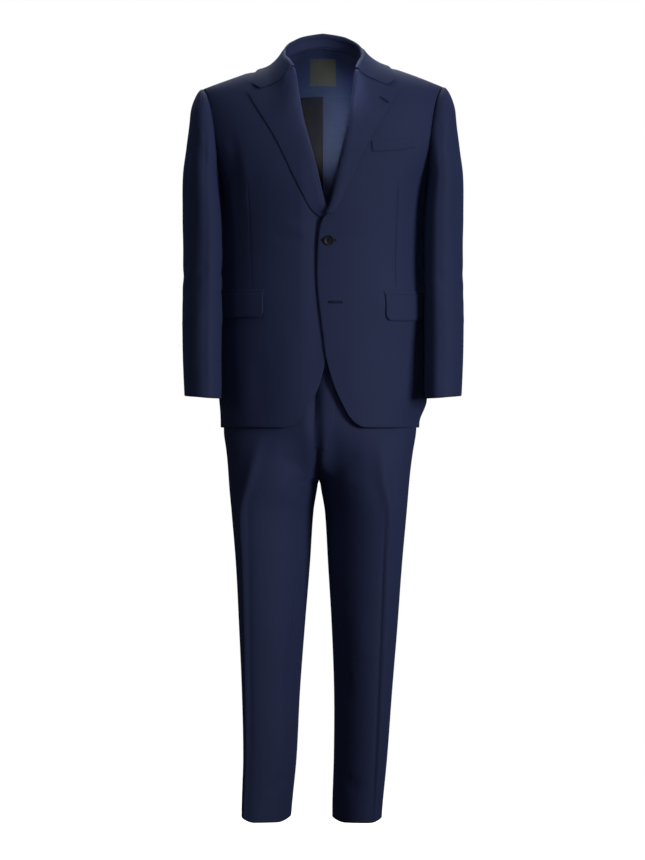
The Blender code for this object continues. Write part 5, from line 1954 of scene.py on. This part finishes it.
class SUIT_OT_stage(bpy.types.Operator):
    """Set the floor, the lights, the white surround and the camera"""
    bl_idname = "suit.stage"
    bl_label = "Studio"

    def execute(self, context):
        stage = context.scene.suit_stage
        clear_selection()
        bpy.ops.mesh.primitive_cylinder_add(
            vertices=96, radius=FLOOR_RADIUS, depth=FLOOR_THICKNESS,
            location=(0.0, 0.0, stage.floor - FLOOR_THICKNESS / 2))
        place_applied()
        floor = context.object
        floor.name = floor.data.name = "studio_floor"
        floor.data.materials.append(paper("studio_paper", (0.93, 0.93, 0.93)))
        floor.visible_diffuse = floor.visible_glossy = False
        for row in LAMPS:
            lamp = bpy.data.lights.new(row.name, "AREA")
            lamp.shape, lamp.size, lamp.size_y = "RECTANGLE", row.size_x, row.size_y
            lamp.energy, lamp.spread = getattr(stage, row.share), math.radians(row.spread)
            item = bpy.data.objects.new(row.name, lamp)
            item.location = row.place
            ahead = Vector(row.aim) - Vector(row.place)
            item.rotation_euler = ahead.to_track_quat("-Z", "Y").to_euler()
            context.scene.collection.objects.link(item)
        world = bpy.data.worlds.new("white_room")
        context.scene.world = world
        world.use_nodes = True
        nodes, links = world.node_tree.nodes, world.node_tree.links
        soft, seen = nodes["Background"], nodes.new("ShaderNodeBackground")
        for light, strength in ((soft, stage.surround), (seen, 1.0)):
            light.inputs["Color"].default_value = WHITE
            light.inputs["Strength"].default_value = strength
        choice = nodes.new("ShaderNodeMixShader")
        links.new(nodes.new("ShaderNodeLightPath").outputs["Is Camera Ray"], choice.inputs[0])
        links.new(soft.outputs[0], choice.inputs[1])
        links.new(seen.outputs[0], choice.inputs[2])
        links.new(choice.outputs[0], nodes["World Output"].inputs["Surface"])
        context.scene.view_settings.view_transform = "Standard"
        lens = bpy.data.cameras.new("camera")
        lens.sensor_width = SENSOR
        lens.lens = SENSOR * stage.distance / (IMAGE_HEIGHT * METRES_PER_PIXEL)
        camera = bpy.data.objects.new("camera", lens)
        camera.location = (VIEW_CENTRE[0], -stage.distance, VIEW_CENTRE[1])
        camera.rotation_euler = (math.pi / 2, 0.0, 0.0)
        context.scene.collection.objects.link(camera)
        context.scene.camera = camera
        return {"FINISHED"}


class SUIT_PT_panel(bpy.types.Panel):
    """The suit's sizes and colours, and the steps that build it"""
    bl_label = "Two-piece suit"
    bl_idname = "SUIT_PT_panel"
    bl_space_type = "VIEW_3D"
    bl_region_type = "UI"
    bl_category = "Suit"

    def draw(self, context):
        scene = context.scene
        for group in (scene.suit_colours, scene.suit_sizes, scene.suit_stage):
            for name in group.__annotations__:
                self.layout.prop(group, name)
        for step in STEPS:
            self.layout.operator(step.bl_idname)


STEPS = (SUIT_OT_body, SUIT_OT_sleeves, SUIT_OT_collar, SUIT_OT_insides, SUIT_OT_pockets,
         SUIT_OT_trousers, SUIT_OT_buttons, SUIT_OT_buttonholes, SUIT_OT_stage)
GROUPS = {"suit_colours": SuitColours, "suit_sizes": SuitSizes, "suit_stage": SuitStage}
CLASSES = (*GROUPS.values(), *STEPS, SUIT_PT_panel)


def register():
    for made in CLASSES:
        bpy.utils.register_class(made)
    for name, group in GROUPS.items():
        setattr(bpy.types.Scene, name, bpy.props.PointerProperty(type=group))


def unregister():
    for name in GROUPS:
        delattr(bpy.types.Scene, name)
    for made in reversed(CLASSES):
        bpy.utils.unregister_class(made)


def main():
    register()
    for step in STEPS:
        family, name = step.bl_idname.split(".")
        getattr(getattr(bpy.ops, family), name)()


if __name__ == "__main__":
    main()
